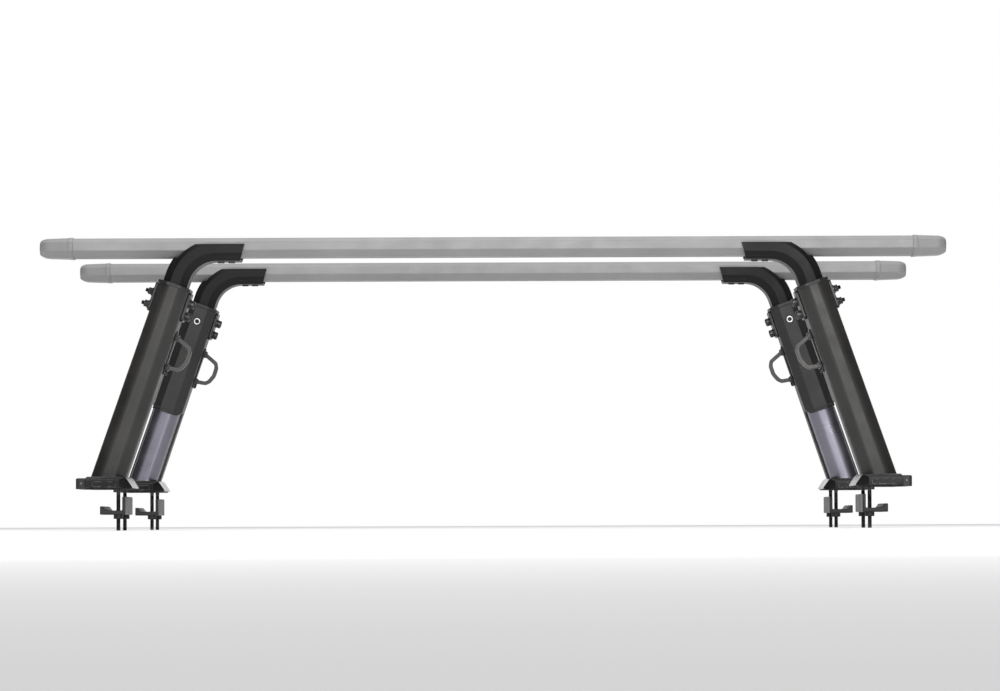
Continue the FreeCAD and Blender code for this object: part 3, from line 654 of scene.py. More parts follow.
    def dress(self, name: str, finish: Finish, body: str, replaces: Sequence[str] = (),
              edge: float = 0.0) -> bpy.types.Object:
        """Finish the form as a piece of the rack.

        Args:
            name: Name of the piece.
            finish: Its finish.
            body: The frame's body that it moves with.
            replaces: Nodes of the frame that it stands for.
            edge: Width of the last small bevel, or 0 for none.

        Returns:
            The finished piece.
        """
        self.outwards()
        if not edge:
            for line in self.mesh.edges:
                line.smooth = line.calc_face_angle(0) < SHARP
        mesh = bpy.data.meshes.new(name)
        self.mesh.to_mesh(mesh)
        self.mesh.free()
        piece = bpy.data.objects.new(name, mesh)
        bpy.context.scene.collection.objects.link(piece)
        mesh.materials.append(finish.material())
        mesh.shade_smooth()
        if edge:
            bevel = piece.modifiers.new("edges", "BEVEL")
            bevel.limit_method = "ANGLE"
            bevel.angle_limit = BEVELLED
            bevel.width = edge
            bevel.segments = 2
            bevel.use_clamp_overlap = True
        weighted = piece.modifiers.new("weighted", "WEIGHTED_NORMAL")
        weighted.weight = 100
        weighted.keep_sharp = True
        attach(piece, body)
        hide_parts(*replaces)
        return piece


def octagon(half: float, low: float, high: float, chamfer: float) -> list[Point2]:
    """Corners of an eight-sided section from low to high, half as wide as given.

    Args:
        half: Half of its width.
        low: Where it starts across the width.
        high: Where it ends.
        chamfer: Length of each cut corner.

    Returns:
        The corners in order.
    """
    right = [(half - chamfer, low), (half, low + chamfer), (half, high - chamfer),
             (half - chamfer, high)]
    return right + [(-a, b) for a, b in reversed(right)]


def in_mm(points: Sequence[Point2]) -> list[Point2]:
    """Turn points given in millimetres into metres."""
    return [(a * MM, b * MM) for a, b in points]


def quarter_turn(place: Sequence[float], turns: int, axis: str) -> Matrix:
    """Give the matrix that turns a form by quarter turns and then moves it.

    Args:
        place: Where the form's origin goes.
        turns: Number of quarter turns.
        axis: Letter of the axis that it turns about.

    Returns:
        The matrix.
    """
    return Matrix.Translation(place) @ Matrix.Rotation(turns * math.pi / 2, 4, axis)


def rounded(half_x: float, half_y: float, radius: float, steps: int = 8) -> list[Point2]:
    """Outline of a rectangle with round corners.

    Args:
        half_x: Half of its width.
        half_y: Half of its length.
        radius: Radius of the corners.
        steps: Short straight runs per corner.

    Returns:
        The outline's points in order.
    """
    points = []
    for quarter in range(4):
        sign_x = (1, -1, -1, 1)[quarter]
        sign_y = (1, 1, -1, -1)[quarter]
        for step in range(steps + 1):
            angle = math.radians(90) * (quarter + step / steps)
            points.append((sign_x * (half_x - radius) + radius * math.cos(angle),
                           sign_y * (half_y - radius) + radius * math.sin(angle)))
    return points


# ---------------------------------------------------------------------------
# Where the towers stand
# ---------------------------------------------------------------------------

@dataclass(frozen=True)
class Stand:
    """Place of one tower, read from the frame."""

    name: str
    side: int
    row: int
    base: Vector
    lean: float

    def matrix(self, by_row: bool = False, leaning: bool = True) -> Matrix:
        """Give the tower's own frame: x outward (or towards its shell's side), z up the mast.

        Args:
            by_row: Turn by row, so that -y is the lock's side, and not by side.
            leaning: Lean with the mast.

        Returns:
            The frame as a matrix.
        """
        turned = (self.row if by_row else self.side) < 0
        spin = Matrix.Rotation(math.pi if turned else 0.0, 4, "Z")
        tilt = Matrix.Rotation(-self.side * self.lean if leaning else 0.0, 4, "Y")
        return Matrix.Translation(self.base) @ tilt @ spin

    @property
    def outward(self) -> int:
        """Sign of x that points outward in the frame that is turned by row."""
        return self.side * self.row


def read_stands() -> list[Stand]:
    """Work the towers' places out of the frame's joints.

    Returns:
        The four stands.
    """
    joints = {joint["name"]: joint for joint in frame["joints"]}
    stands = []
    for row, row_name in ((-1, "rear"), (1, "front")):
        for side, side_name in ((-1, "left"), (1, "right")):
            name = f"{row_name}_{side_name}"
            axis = Vector(joints[f"{name}_arm_slide"]["axis"])
            lock = Vector(joints[f"{name}_key_turn"]["pos_m"])
            low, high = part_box(f"mast_{name}")
            base = lock - axis * (lock.z / axis.z)
            base.y = (low.y + high.y) / 2
            base.z = 0.0
            stands.append(Stand(name, side, row, base, math.atan2(abs(axis.x), axis.z)))
    return stands


# ---------------------------------------------------------------------------
# Towers
# ---------------------------------------------------------------------------

@dataclass
class TowerTube:
    """Mast, outer shell, lock cover and collar of one tower."""

    stand: Stand
    mast_x: float = 27.5 * MM
    mast_y: float = 50 * MM
    mast_round: float = 22 * MM
    mast_wall: float = 2.3 * MM
    mast_root: float = -30 * MM
    mast_low: float = 4.2 * MM
    skin_top: float = 30 * MM
    skin_foot: float = 32.5 * MM
    skin_cut: float = 17 * MM
    skin_inner_cut: float = 15 * MM
    skin_wall: float = 2.4 * MM
    play: float = 0.05 * MM
    shell_y: float = 53 * MM
    shell_low: float = 24.1 * MM
    shell_round: float = 7 * MM
    cover_y: float = 57 * MM
    cover_low: float = 176 * MM
    cover_lip: tuple[float, float] = (5.5 * MM, 0.7 * MM)
    corner_cuts: tuple[tuple[float, float], ...] = ((22, 4.2 * MM), (45, 6.2 * MM), (68, 4.2 * MM))
    seat_r: float = 8.4 * MM
    seat_depth: float = 0.9 * MM
    hole_r: float = 5.85 * MM
    seam: float = 5 * MM
    seam_gap: float = 0.5 * MM
    collar_low: float = 406 * MM
    collar_high: float = 413 * MM
    collar_proud: float = 1.5 * MM
    mouth: tuple[float, float, float] = (23.9 * MM, 46.4 * MM, 14 * MM)
    wiper: tuple[float, float, float] = (25.6 * MM, 48.2 * MM, 14.6 * MM)
    lock_at: float = 376 * MM

    def below(self, height: float) -> Form:
        """Give a box that fills all below a height at this tower.

        Args:
            height: Top of the box.

        Returns:
            The box.
        """
        base = self.stand.base
        room = 0.3
        return Form.box((base.x - room, base.y - room, -room),
                        (base.x + room, base.y + room, height))

    def mast(self) -> bpy.types.Object:
        """Build the smooth rounded mast.

        Returns:
            The finished piece.
        """
        outer = rounded(self.mast_x, self.mast_y, self.mast_round)
        inner = rounded(self.mast_x - self.mast_wall, self.mast_y - self.mast_wall,
                        self.mast_round - self.mast_wall)
        form = Form.ring(outer, inner, self.mast_root, self.collar_low)
        form.place(self.stand.matrix()).carve(self.below(self.mast_low))
        return form.dress(f"mast_tube_{self.stand.name}", MAST_COAT, TOWERS,
                          [f"mast_{self.stand.name}"])

    def half_width(self, height: float) -> float:
        """Half width of the skin at a height along the mast."""
        return self.skin_foot + (self.skin_top - self.skin_foot) * height / self.collar_low

    def channel(self, height: float, low: float, high: float, wall: float,
                inset: float = 0.0) -> list[Point2]:
        """Outline a U round the mast, open at low and closed at high.

        Args:
            height: Height along the mast, which sets the width.
            low: Where the U's open side ends.
            high: Face of its closed side.
            wall: Thickness of the closed side.
            inset: How much narrower than the skin each side is.

        Returns:
            The outline's corners.
        """
        half = self.half_width(height) - inset
        inner = self.mast_x + self.play
        sign = 1 if high > low else -1
        cut = self.skin_cut
        deep = high - sign * wall
        inner_cut = self.skin_inner_cut
        return [(half, low), (half, high - sign * cut), (half - cut, high), (cut - half, high),
                (-half, high - sign * cut), (-half, low), (-inner, low),
                (-inner, deep - sign * inner_cut), (inner_cut - inner, deep),
                (inner - inner_cut, deep), (inner, deep - sign * inner_cut), (inner, low)]

    def shell(self) -> bpy.types.Object:
        """Build the full-length shell on the outer face.

        Returns:
            The finished piece.
        """
        wall = self.shell_y - self.mast_y
        form = Form.loft([(0.0, self.channel(0.0, -self.seam, self.shell_y, wall)),
                          (self.collar_low, self.channel(self.collar_low, -self.seam,
                                                         self.shell_y, wall))])
        face = self.shell_y - self.skin_cut - 1 * MM
        form.round(self.shell_round, 8, lambda edge: all(vert.co.y > face for vert in edge.verts)
                   and math.radians(20) < edge.calc_face_angle() < math.radians(60)
                   and max(abs(vert.co.x) for vert in edge.verts) > 11 * MM
                   and edge.calc_length() > 0.1)
        lean = self.stand.lean
        form.slice((0, 0, self.shell_low / math.cos(lean)),
                   (-self.stand.outward * math.sin(lean), 0, -math.cos(lean)))
        form.place(self.stand.matrix(by_row=True))
        return form.dress(f"tower_shell_{self.stand.name}", TOWER_COAT, TOWERS,
                          [f"outer_shell_{self.stand.name}"])

    def cover(self) -> bpy.types.Object:
        """Build the lock cover with its lip, its round lower inner corner and its lock seat.

        Returns:
            The finished piece.
        """
        edge = -self.seam - self.seam_gap
        top = self.collar_low
        lip, thin = self.cover_lip
        sections = []
        for height, inset in ((0.0, thin), (lip, thin), (lip + thin, 0.0),
                              (top - self.cover_low, 0.0)):
            at = self.cover_low + height
            sections.append((at, self.channel(at, edge, inset - self.cover_y,
                                              self.skin_wall - inset, inset)))
        form = Form.loft(sections)
        inward = -self.stand.outward
        corner = inward * self.half_width(self.cover_low)
        for turn, inset in self.corner_cuts:
            angle = math.radians(turn)
            normal = (inward * math.cos(angle), 0, -math.sin(angle))
            form.slice((corner - inward * inset * math.cos(angle), 0,
                        self.cover_low + inset * math.sin(angle)), normal)
        seat = Form.rod(self.seat_r, self.cover_y - self.seat_depth, self.cover_y + 5 * MM,
                        along=Axis.Y).place(Matrix.Translation((0, 0, self.lock_at)))
        seat.place(Matrix.Scale(-1, 4, (0, 1, 0)))
        hole = Form.rod(self.hole_r, -99 * MM, 0, along=Axis.Y)
        hole.place(Matrix.Translation((0, 0, self.lock_at)))
        form.carve(seat, hole)
        form.place(self.stand.matrix(by_row=True))
        return form.dress(f"lock_cover_shell_{self.stand.name}", COVER_PLASTIC, TOWERS,
                          [f"lock_cover_{self.stand.name}"], edge=0.9 * MM)

    def collar(self, replaces: Sequence[str]) -> bpy.types.Object:
        """Build the collar with a wiper lip round the arm.

        Args:
            replaces: Nodes of the frame that the piece stands for.

        Returns:
            The finished piece.
        """
        proud = self.collar_proud
        outer = octagon(self.skin_top + proud, -self.cover_y - proud, self.shell_y + proud,
                        self.skin_cut)
        half, depth, chamfer = self.mouth
        inner = octagon(half, -depth, depth, chamfer)
        form = Form.ring(outer, inner, self.collar_low + 0.1 * MM, self.collar_high - 1 * MM)
        half, depth, chamfer = self.wiper
        lip_outer = octagon(half, -depth, depth, chamfer)
        form.add(Form.ring(lip_outer, inner, self.collar_high - 1.2 * MM, self.collar_high))
        form.place(self.stand.matrix(by_row=True))
        return form.dress(f"collar_{self.stand.name}", COVER_PLASTIC, TOWERS, replaces,
                          edge=0.8 * MM)


@dataclass
class TowerHardware:
    """Clamp plates, bolts, nuts, lock and tie-down loop of one tower."""

    stand: Stand
    plate_in: float = 30.5 * MM
    plate_out: float = 36.5 * MM
    plate_low: float = 349 * MM
    plate_high: float = 405.8 * MM
    plate_y: float = 27 * MM
    washer: float = 1.6 * MM
    bolt_r: float = 4 * MM
    bolt_top: float = 386 * MM
    bolt_pitch: float = 25 * MM
    flutes: int = 16
    lock_at: float = 376 * MM
    cover_y: float = 57 * MM
    loop_root: float = -35 * MM
    loop_low: float = 257 * MM
    loop_high: float = 317 * MM

    def bolt_heights(self) -> list[float]:
        """Heights of the two bolts along the mast."""
        return [self.bolt_top, self.bolt_top - self.bolt_pitch]

    def plates(self, replaces: Sequence[str]) -> bpy.types.Object:
        """Build both clamp plates with raised bolt seats.

        Args:
            replaces: Nodes of the frame that the piece stands for.

        Returns:
            The finished piece.
        """
        form = Form()
        for side in (-1, 1):
            outline = [(y, z + (self.plate_low + self.plate_high) / 2) for y, z in
                       rounded(self.plate_y, (self.plate_high - self.plate_low) / 2, 6 * MM, 6)]
            low, high = sorted((side * self.plate_in, side * (self.plate_out - 0.6 * MM)))
            plate = Form.prism(outline, low, high, Axis.X)
            plate.round(1.2 * MM, 3)
            form.add(plate)
            for height in self.bolt_heights():
                seat = Form.lathe(in_mm([(0, 0), (11.4, 0), (11.4, 1.2), (10.6, 1.9), (0, 1.9)]))
                seat.place(quarter_turn((side * (self.plate_out - 2 * MM), 0, height), side, "Y"))
                form.add(seat)
        form.place(self.stand.matrix())
        return form.dress(f"clamp_plate_{self.stand.name}", PLATE_COAT, TOWERS, replaces)

    def washers(self, replaces: Sequence[str]) -> bpy.types.Object:
        """Build the washers under heads and nuts.

        Args:
            replaces: Nodes of the frame that the piece stands for.

        Returns:
            The finished piece.
        """
        form = Form()
        for side in (-1, 1):
            for height in self.bolt_heights():
                ring = Form.lathe(in_mm([(4.2, 0), (9, 0), (9, 1.3), (8.6, 1.6), (4.2, 1.6),
                                         (4.2, 0)]))
                ring.place(quarter_turn((side * self.plate_out, 0, height), side, "Y"))
                form.add(ring)
        form.place(self.stand.matrix())
        return form.dress(f"clamp_washer_{self.stand.name}", DARK_STEEL, TOWERS, replaces)

    def bolts(self, replaces: Sequence[str]) -> bpy.types.Object:
        """Build the bolts: knurled round heads with a hexagon socket and threaded ends.

        Args:
            replaces: Nodes of the frame that the piece stands for.

        Returns:
            The finished piece.
        """
        form = Form()
        start = self.plate_out + self.washer
        for height in self.bolt_heights():
            head = Form.lathe(in_mm([(0, 0), (7.6, 0), (8, 0.5), (8, 6.2), (7.2, 7.8), (5.6, 8.3),
                                     (0, 8.3)]), steps=48)
            flutes = []
            for number in range(self.flutes):
                angle = math.tau * number / self.flutes
                flutes.append(Form.rod(0.7 * MM, 0.9 * MM, 6.0 * MM,
                                       (8.3 * MM * math.cos(angle), 8.3 * MM * math.sin(angle)),
                                       sides=8))
            socket = Form.rod(4.7 * MM, 3.4 * MM, 12 * MM, sides=6)
            head.carve(socket, *flutes)
            head.place(quarter_turn((-start, 0, height), -1, "Y"))
            form.add(head)
            reach = start + 13 * MM
            profile = [(0, -start), (self.bolt_r, -start), (self.bolt_r, start)]
            turns = int((reach - start) / THREAD_PITCH)
            for number in range(turns):
                along = start + THREAD_PITCH * number
                profile += [(self.bolt_r - 0.65 * MM, along + THREAD_PITCH * 0.5),
                            (self.bolt_r, along + THREAD_PITCH)]
            profile += [(self.bolt_r - 0.9 * MM, reach + 0.8 * MM), (0, reach + 0.8 * MM)]
            shank = Form.lathe(profile, (0, 0, height), Axis.X, 24)
            form.add(shank)
        form.place(self.stand.matrix())
        return form.dress(f"clamp_bolt_{self.stand.name}", DARK_STEEL, TOWERS, replaces)

    def nuts(self, replaces: Sequence[str]) -> bpy.types.Object:
        """Build the flanged nuts.

        Args:
            replaces: Nodes of the frame that the piece stands for.

        Returns:
            The finished piece.
        """
        form = Form()
        start = self.plate_out + self.washer
        for height in self.bolt_heights():
            body = Form.rod(7.5 * MM, start + 1.2 * MM, start + 8.4 * MM, (0, height), Axis.X, 6)
            body.round(0.5 * MM, 2)
            cone = Form.lathe(in_mm([(0, 0), (8.4, 0), (8.4, 1.0), (7, 2.4), (0, 2.4)]),
                              (start, 0, height), Axis.X)
            for part in (body, cone):
                part.carve(Form.rod(self.bolt_r + 0.02 * MM, start - 9 * MM, start + 20 * MM,
                                    (0, height), Axis.X, 24))
                form.add(part)
        form.place(self.stand.matrix())
        return form.dress(f"clamp_nut_{self.stand.name}", DARK_STEEL, TOWERS, replaces)

    def barrel(self, replaces: Sequence[str]) -> bpy.types.Object:
        """Build the lock's bright ring and body.

        Args:
            replaces: Nodes of the frame that the piece stands for.

        Returns:
            The finished piece.
        """
        profile = in_mm([(4.05, -6.3), (5.75, -6.3), (5.75, 0.1), (7.0, 0.1), (7.0, 0.7),
                         (6.5, 1.15), (4.7, 1.2), (4.05, 0.7), (4.05, -6.3)])
        form = Form.lathe(profile, steps=48)
        form.place(quarter_turn((0, -self.cover_y, self.lock_at), 1, "X"))
        form.place(self.stand.matrix(by_row=True))
        return form.dress(f"lock_ring_{self.stand.name}", BRIGHT_STEEL, TOWERS, replaces)

    def plug(self) -> bpy.types.Object:
        """Build the key plug with its slot and a small funnel.

        Returns:
            The finished piece.
        """
        form = Form.lathe(in_mm([(0, -6), (4.0, -6), (4.0, 0.35), (3.7, 0.7), (0, 0.7)]))
        slot = Form.prism(in_mm([(-0.8, -2.8), (0.8, -2.8), (0.8, 0.6), (1.3, 1.2), (1.3, 2.8),
                                 (-1.3, 2.8), (-1.3, 1.2), (-0.8, 0.6)]), -3 * MM, 3 * MM)
        form.carve(slot)
        form.place(quarter_turn((0, -self.cover_y, self.lock_at), 1, "X"))
        form.place(self.stand.matrix(by_row=True))
        return form.dress(f"key_plug_{self.stand.name}", LOCK_CORE, f"{self.stand.name}_plug",
                          [f"lock_plug_{self.stand.name}"])

    def loop_path(self) -> list[Point2]:
        """Corners of the loop's centre line.

        Returns:
            The corners from top to bottom.
        """
        return [(self.loop_root, self.loop_high), (-62 * MM, 306 * MM), (-66.3 * MM, 297 * MM),
                (-66.5 * MM, 280 * MM), (-61 * MM, 266 * MM), (-55 * MM, self.loop_low + 3 * MM),
                (self.loop_root, self.loop_low)]

    def loop(self) -> bpy.types.Object:
        """Build the loop of flat stock.

        Returns:
            The finished piece.
        """
        half_stock = 4 * MM

        def edge_line(grow: float) -> list[Point2]:
            """Offset the centre line.

            Args:
                grow: Distance from the centre line, positive outward.

            Returns:
                The offset line.
            """
            middle = Vector((self.loop_root, (self.loop_low + self.loop_high) / 2))
            points = [Vector(point) for point in self.loop_path()]
            line = []
            for number, point in enumerate(points):
                before = points[max(number - 1, 0)]
                after = points[min(number + 1, len(points) - 1)]
                along = (after - before).normalized()
                normal = Vector((along.y, -along.x))
                if normal.dot(point - middle) < 0:
                    normal = -normal
                line.append(tuple(point + normal * grow))
            return line
        outline = edge_line(half_stock) + list(reversed(edge_line(-half_stock)))
        form = Form.prism(outline, -7 * MM, 7 * MM, Axis.Y)
        form.round(3.2 * MM, 4, lambda edge: abs((edge.verts[0].co - edge.verts[1].co).y)
                   > 13 * MM and edge.verts[0].co.x < -50 * MM)
        form.round(1.3 * MM, 3)
        form.place(self.stand.matrix())
        return form.dress(f"strap_loop_{self.stand.name}", LOOP_COAT, TOWERS,
                          [f"tie_down_loop_{self.stand.name}"])

    def bracket(self, replaces: Sequence[str]) -> bpy.types.Object:
        """Build the loop's back strip with two bosses and their cross pins.

        Args:
            replaces: Nodes of the frame that the piece stands for.

        Returns:
            The finished piece.
        """
        form = Form()
        strip = Form.prism([(z, y) for y, z in rounded(9 * MM, 43 * MM, 5 * MM, 5)],
                           -1.4 * MM, 1.4 * MM)
        strip.round(0.7 * MM, 2)
        middle = (self.loop_low + self.loop_high) / 2 - 1 * MM
        strip.place(quarter_turn((-32.4 * MM, 0, middle), 1, "Y"))
        form.add(strip)
        for height in (self.loop_low, self.loop_high):
            boss = Form.prism([(-39 * MM, height - 6 * MM), (-33 * MM, height - 8 * MM),
                               (-33 * MM, height + 8 * MM), (-39 * MM, height + 6 * MM)],
                              -8.8 * MM, 8.8 * MM, Axis.Y)
            boss.round(1.6 * MM, 3)
            form.add(boss)
            pin = Form.lathe(in_mm([(0, -10), (2.6, -10), (3, -9.5), (3, 9.5), (2.6, 10),
                                    (0, 10)]),
                             (-36.5 * MM, 0, height), Axis.Y, 20)
            form.add(pin)
        form.place(self.stand.matrix())
        return form.dress(f"loop_bracket_{self.stand.name}", PLATE_COAT, TOWERS, replaces)

    def loop_screw(self, replaces: Sequence[str]) -> bpy.types.Object:
        """Build the screw below the loop.

        Args:
            replaces: Nodes of the frame that the piece stands for.

        Returns:
            The finished piece.
        """
        form = Form.lathe(in_mm([(0, 0), (4.5, 0), (4.5, 2.6), (3.9, 4.2), (2.4, 5.0), (0, 5.1)]),
                          steps=28)
        form.carve(Form.rod(2.3 * MM, 3 * MM, 9 * MM, sides=6))
        form.place(quarter_turn((-33.8 * MM, 0, self.loop_low - 10.2 * MM), -1, "Y"))
        form.place(self.stand.matrix())
        return form.dress(f"loop_screw_{self.stand.name}", DARK_STEEL, TOWERS, replaces)


@dataclass
class Arm:
    """Gooseneck arm that telescopes out of the mast and carries the crossbar."""

    stand: Stand
    half: float = 23.5 * MM
    depth: float = 46 * MM
    chamfer: float = 14 * MM
    wall: float = 3.2 * MM
    low: float = 33 * MM
    bend_at: float = 428 * MM
    bend_radius: float = 78 * MM
    bend_steps: int = 26
    reach: float = 70 * MM
    level: float = 457.3 * MM
    cheek: float = 465.6 * MM
    tip: float = 265 * MM
    tip_slant: float = 15.8
    bar_low: float = 441 * MM
    bar_half: float = 38 * MM
    bar_gap: float = 0.55 * MM
    slot_low: float = 58 * MM
    slot_high: float = 393 * MM
    slot_half: float = 4.6 * MM

    def build(self) -> bpy.types.Object:
        """Sweep the section along leg, bend and level run, then open the saddle and slots.

        Returns:
            The finished piece.
        """
        inset = WALL_INSET * self.wall
        outer = octagon(self.half, -self.depth, self.depth, self.chamfer)
        inner = octagon(self.half - self.wall, self.wall - self.depth, self.depth - self.wall,
                        self.chamfer - inset)
        form = Form.ring(outer, inner, self.low, self.bend_at)
        end = [face for face in form.mesh.faces
               if all(vert.co.z > self.bend_at - NEAR for vert in face.verts)]
        turn = math.pi / 2 - self.stand.lean
        end = form.bend(end, Vector((-self.bend_radius, 0, self.bend_at)), turn, self.bend_steps)
        run = Vector((-math.sin(turn), 0, math.cos(turn))) * self.reach
        form.grow(end, Matrix.Translation(run))
        form.round(1.1 * MM, 2, lambda edge: math.radians(35) < edge.calc_face_angle()
                   < math.radians(60))
        form.place(self.stand.matrix())
        side = self.stand.side
        base = self.stand.base
        above = Form.box((base.x - 0.4, base.y - 0.1, self.cheek),
                         (base.x + 0.4, base.y + 0.1, self.cheek + 0.1))
        beyond = Form.box((-0.1, -0.1, -0.1), (0, 0.1, 0.1))
        beyond.place(Matrix.Rotation(math.radians(self.tip_slant), 4, "Y").inverted())
        if side < 0:
            beyond.place(Matrix.Rotation(math.pi, 4, "Z"))
        beyond.place(Matrix.Translation((base.x - side * self.tip, base.y, self.level)))
        half = self.bar_half + self.bar_gap
        way = Form.box((base.x - 0.4, base.y - half, self.bar_low - self.bar_gap),
                       (base.x + 0.4, base.y + half, self.cheek + 0.2))
        slot = Form.prism([(y, z + (self.slot_low + self.slot_high) / 2) for y, z in
                           rounded(self.slot_half, (self.slot_high - self.slot_low) / 2,
                                   self.slot_half - 0.01 * MM, 6)], -40 * MM, 40 * MM, Axis.X)
        slot.place(self.stand.matrix())
        form.carve(above, beyond, way, slot)
        return form.dress(f"gooseneck_arm_{self.stand.name}", ARM_COAT, f"{self.stand.name}_arm",
                          [f"arm_{self.stand.name}"], edge=0.7 * MM)


@dataclass
class FootSet:
    """Foot, end cap, pad, rail jaw and their screws at one tower."""

    stand: Stand
    height: float = 24 * MM
    pad: float = 2 * MM
    half_length: float = 95 * MM
    nose: float = 56.5 * MM
    outer: float = 32.5 * MM
    cap_outer: float = 49.5 * MM
    bolt_x: float = 30 * MM
    bolt_y: float = 76 * MM
    bolt_low: float = 78 * MM
    bolt_r: float = 4 * MM
    bolt_hole: float = 4.5 * MM
    well_r: float = 7.3 * MM
    well_depth: float = 9 * MM
    cap_inset: float = 3 * MM
    jaw_half: float = 88 * MM
    teeth: int = 21
    tooth_pitch: float = 8 * MM

    def casting(self) -> bpy.types.Object:
        """Build the foot casting: sloped nose, faceted top, tower plinth and bolt wells.

        Returns:
            The finished piece.
        """
        top = self.height
        side_view = [(-self.nose, self.pad), (self.outer, self.pad), (self.outer, top - 4 * MM),
                     (self.outer - 4 * MM, top), (15.5 * MM - self.nose, top),
                     (10.5 * MM - self.nose, top - 4 * MM), (-self.nose, self.pad + 2 * MM)]
        form = Form.prism(side_view, -self.half_length, self.half_length, Axis.Y)
        for end in (-1, 1):
            form.slice((0, end * self.half_length, top - 6 * MM), (0, end * 7, 9))
            form.slice((24 * MM - self.nose, end * self.half_length, 0), (-20, end * 32.5, 0))
        form.round(1.1 * MM, 3)
        wells = []
        for end in (-1, 1):
            centre = (-self.bolt_x, end * self.bolt_y)
            wells.append(Form.rod(self.well_r, top - self.well_depth, top + self.well_depth,
                                  centre))
            wells.append(Form.rod(self.bolt_hole, -self.well_depth, top + self.well_depth,
                                  centre))
        lean = Matrix.Rotation(-self.stand.lean, 4, "Y")
        socket = Form.prism(rounded(27.6 * MM, 50.1 * MM, 22 * MM), -60 * MM, 80 * MM)
        socket.place(lean)
        socket.slice((0, 0, 4 * MM), (0, 0, -1))
        panels = []
        for end in (-1, 1):
            panel = Form.prism([(x - 4 * MM, z + 9.6 * MM) for x, z in
                                rounded(22 * MM, 4.4 * MM, 2 * MM, 4)],
                               -2 * MM, 2 * MM, Axis.Y)
            panels.append(panel.place(Matrix.Translation(
                (0, end * (self.half_length + 1.2 * MM), 0))))
        form.carve(socket, *wells, *panels)
        form.place(self.stand.matrix(leaning=False))
        return form.dress(f"foot_casting_{self.stand.name}", FOOT_GLOSS, TOWERS,
                          [f"foot_{self.stand.name}"], edge=0.5 * MM)

    def end_cap(self, replaces: Sequence[str]) -> bpy.types.Object:
        """Build the rounded plastic end cap.

        Args:
            replaces: Nodes of the frame that the piece stands for.

        Returns:
            The finished piece.
        """
        half = self.half_length - self.cap_inset
        top = self.height - self.cap_inset
        form = Form.prism([(self.outer, -half), (self.cap_outer, -half), (self.cap_outer, half),
                           (self.outer, half)], 0.4 * MM, top)
        outer = self.cap_outer
        form.round(6 * MM, 6, lambda edge: all(vert.co.x > outer - NEAR for vert in edge.verts)
                   and abs(edge.verts[0].co.z - edge.verts[1].co.z) > 5 * MM)
        form.round(3.2 * MM, 5, lambda edge: all(vert.co.z > top - NEAR for vert in edge.verts)
                   and max(vert.co.x for vert in edge.verts) > self.outer + 1 * MM)
        form.place(self.stand.matrix(leaning=False))
        return form.dress(f"foot_cap_{self.stand.name}", CAP_PLASTIC, TOWERS, replaces)

    def cap_screws(self, replaces: Sequence[str]) -> bpy.types.Object:
        """Build the small cross-slotted screws in the cap's ends.

        Args:
            replaces: Nodes of the frame that the piece stands for.

        Returns:
            The finished piece.
        """
        form = Form()
        for end in (-1, 1):
            slots = []
            head = Form.lathe(in_mm([(0, -0.8), (3.2, -0.8), (3.2, 0.2), (2.4, 0.65), (0, 0.8)]),
                              steps=28)
            for half_x, half_y in ((2.0 * MM, 0.35 * MM), (0.35 * MM, 2.0 * MM)):
                slots.append(Form.prism([(-half_x, -half_y), (half_x, -half_y),
                                         (half_x, half_y), (-half_x, half_y)],
                                        0.1 * MM, 3 * MM))
            head.carve(*slots)
            place = (self.outer + 7 * MM, end * (self.half_length - self.cap_inset), 11 * MM)
            head.place(quarter_turn(place, -end, "X"))
            form.add(head)
        form.place(self.stand.matrix(leaning=False))
        return form.dress(f"foot_cap_screw_{self.stand.name}", DARK_STEEL, TOWERS, replaces)

    def rubber(self, replaces: Sequence[str]) -> bpy.types.Object:
        """Build the rubber pad under the foot.

        Args:
            replaces: Nodes of the frame that the piece stands for.

        Returns:
            The finished piece.
        """
        middle = (self.outer - self.nose + 3 * MM) / 2
        half = (self.outer + self.nose - 5 * MM) / 2
        outline = [(x + middle, y) for x, y in rounded(half, self.half_length - 4 * MM, 12 * MM)]
        form = Form.prism(outline, 0.0, self.pad)
        form.round(0.4 * MM, 2)
        form.place(self.stand.matrix(leaning=False))
        return form.dress(f"foot_rubber_{self.stand.name}", RUBBER, TOWERS, replaces)

    def jaw(self) -> bpy.types.Object:
        """Build the rail jaw with a toothed lip, bolt holes and threaded bosses.

        Returns:
            The finished piece.
        """
        form = Form.prism(in_mm([(-44, -48), (4, -48), (4, -32), (0, -32), (-6, -40), (-38, -40),
                                 (-38, -14), (-44, -14)]),
                          -self.jaw_half, self.jaw_half, Axis.Y)
        form.round(1.6 * MM, 3)
        notches = []
        for number in range(self.teeth):
            y = (number - (self.teeth - 1) / 2) * self.tooth_pitch
            notches.append(Form.prism([(y - 1.6 * MM, -31 * MM), (y, -34 * MM),
                                       (y + 1.6 * MM, -31 * MM)], -2 * MM, 6 * MM, Axis.X))
        for end in (-1, 1):
            notches.append(Form.rod(4.3 * MM, -60 * MM, -30 * MM,
                                    (-self.bolt_x, end * self.bolt_y)))
        form.carve(*notches)
        for end in (-1, 1):
            boss = Form.lathe(in_mm([(4.05, 0), (4.05, -8), (8.2, -8), (9, -7.2), (9, 0.2),
                                     (4.05, 0)]),
                              (-self.bolt_x, end * self.bolt_y, -48 * MM))
            form.add(boss)
        form.place(self.stand.matrix(leaning=False))
        return form.dress(f"clamp_jaw_{self.stand.name}", JAW_COAT, f"{self.stand.name}_jaw",
                          [f"rail_jaw_{self.stand.name}"])

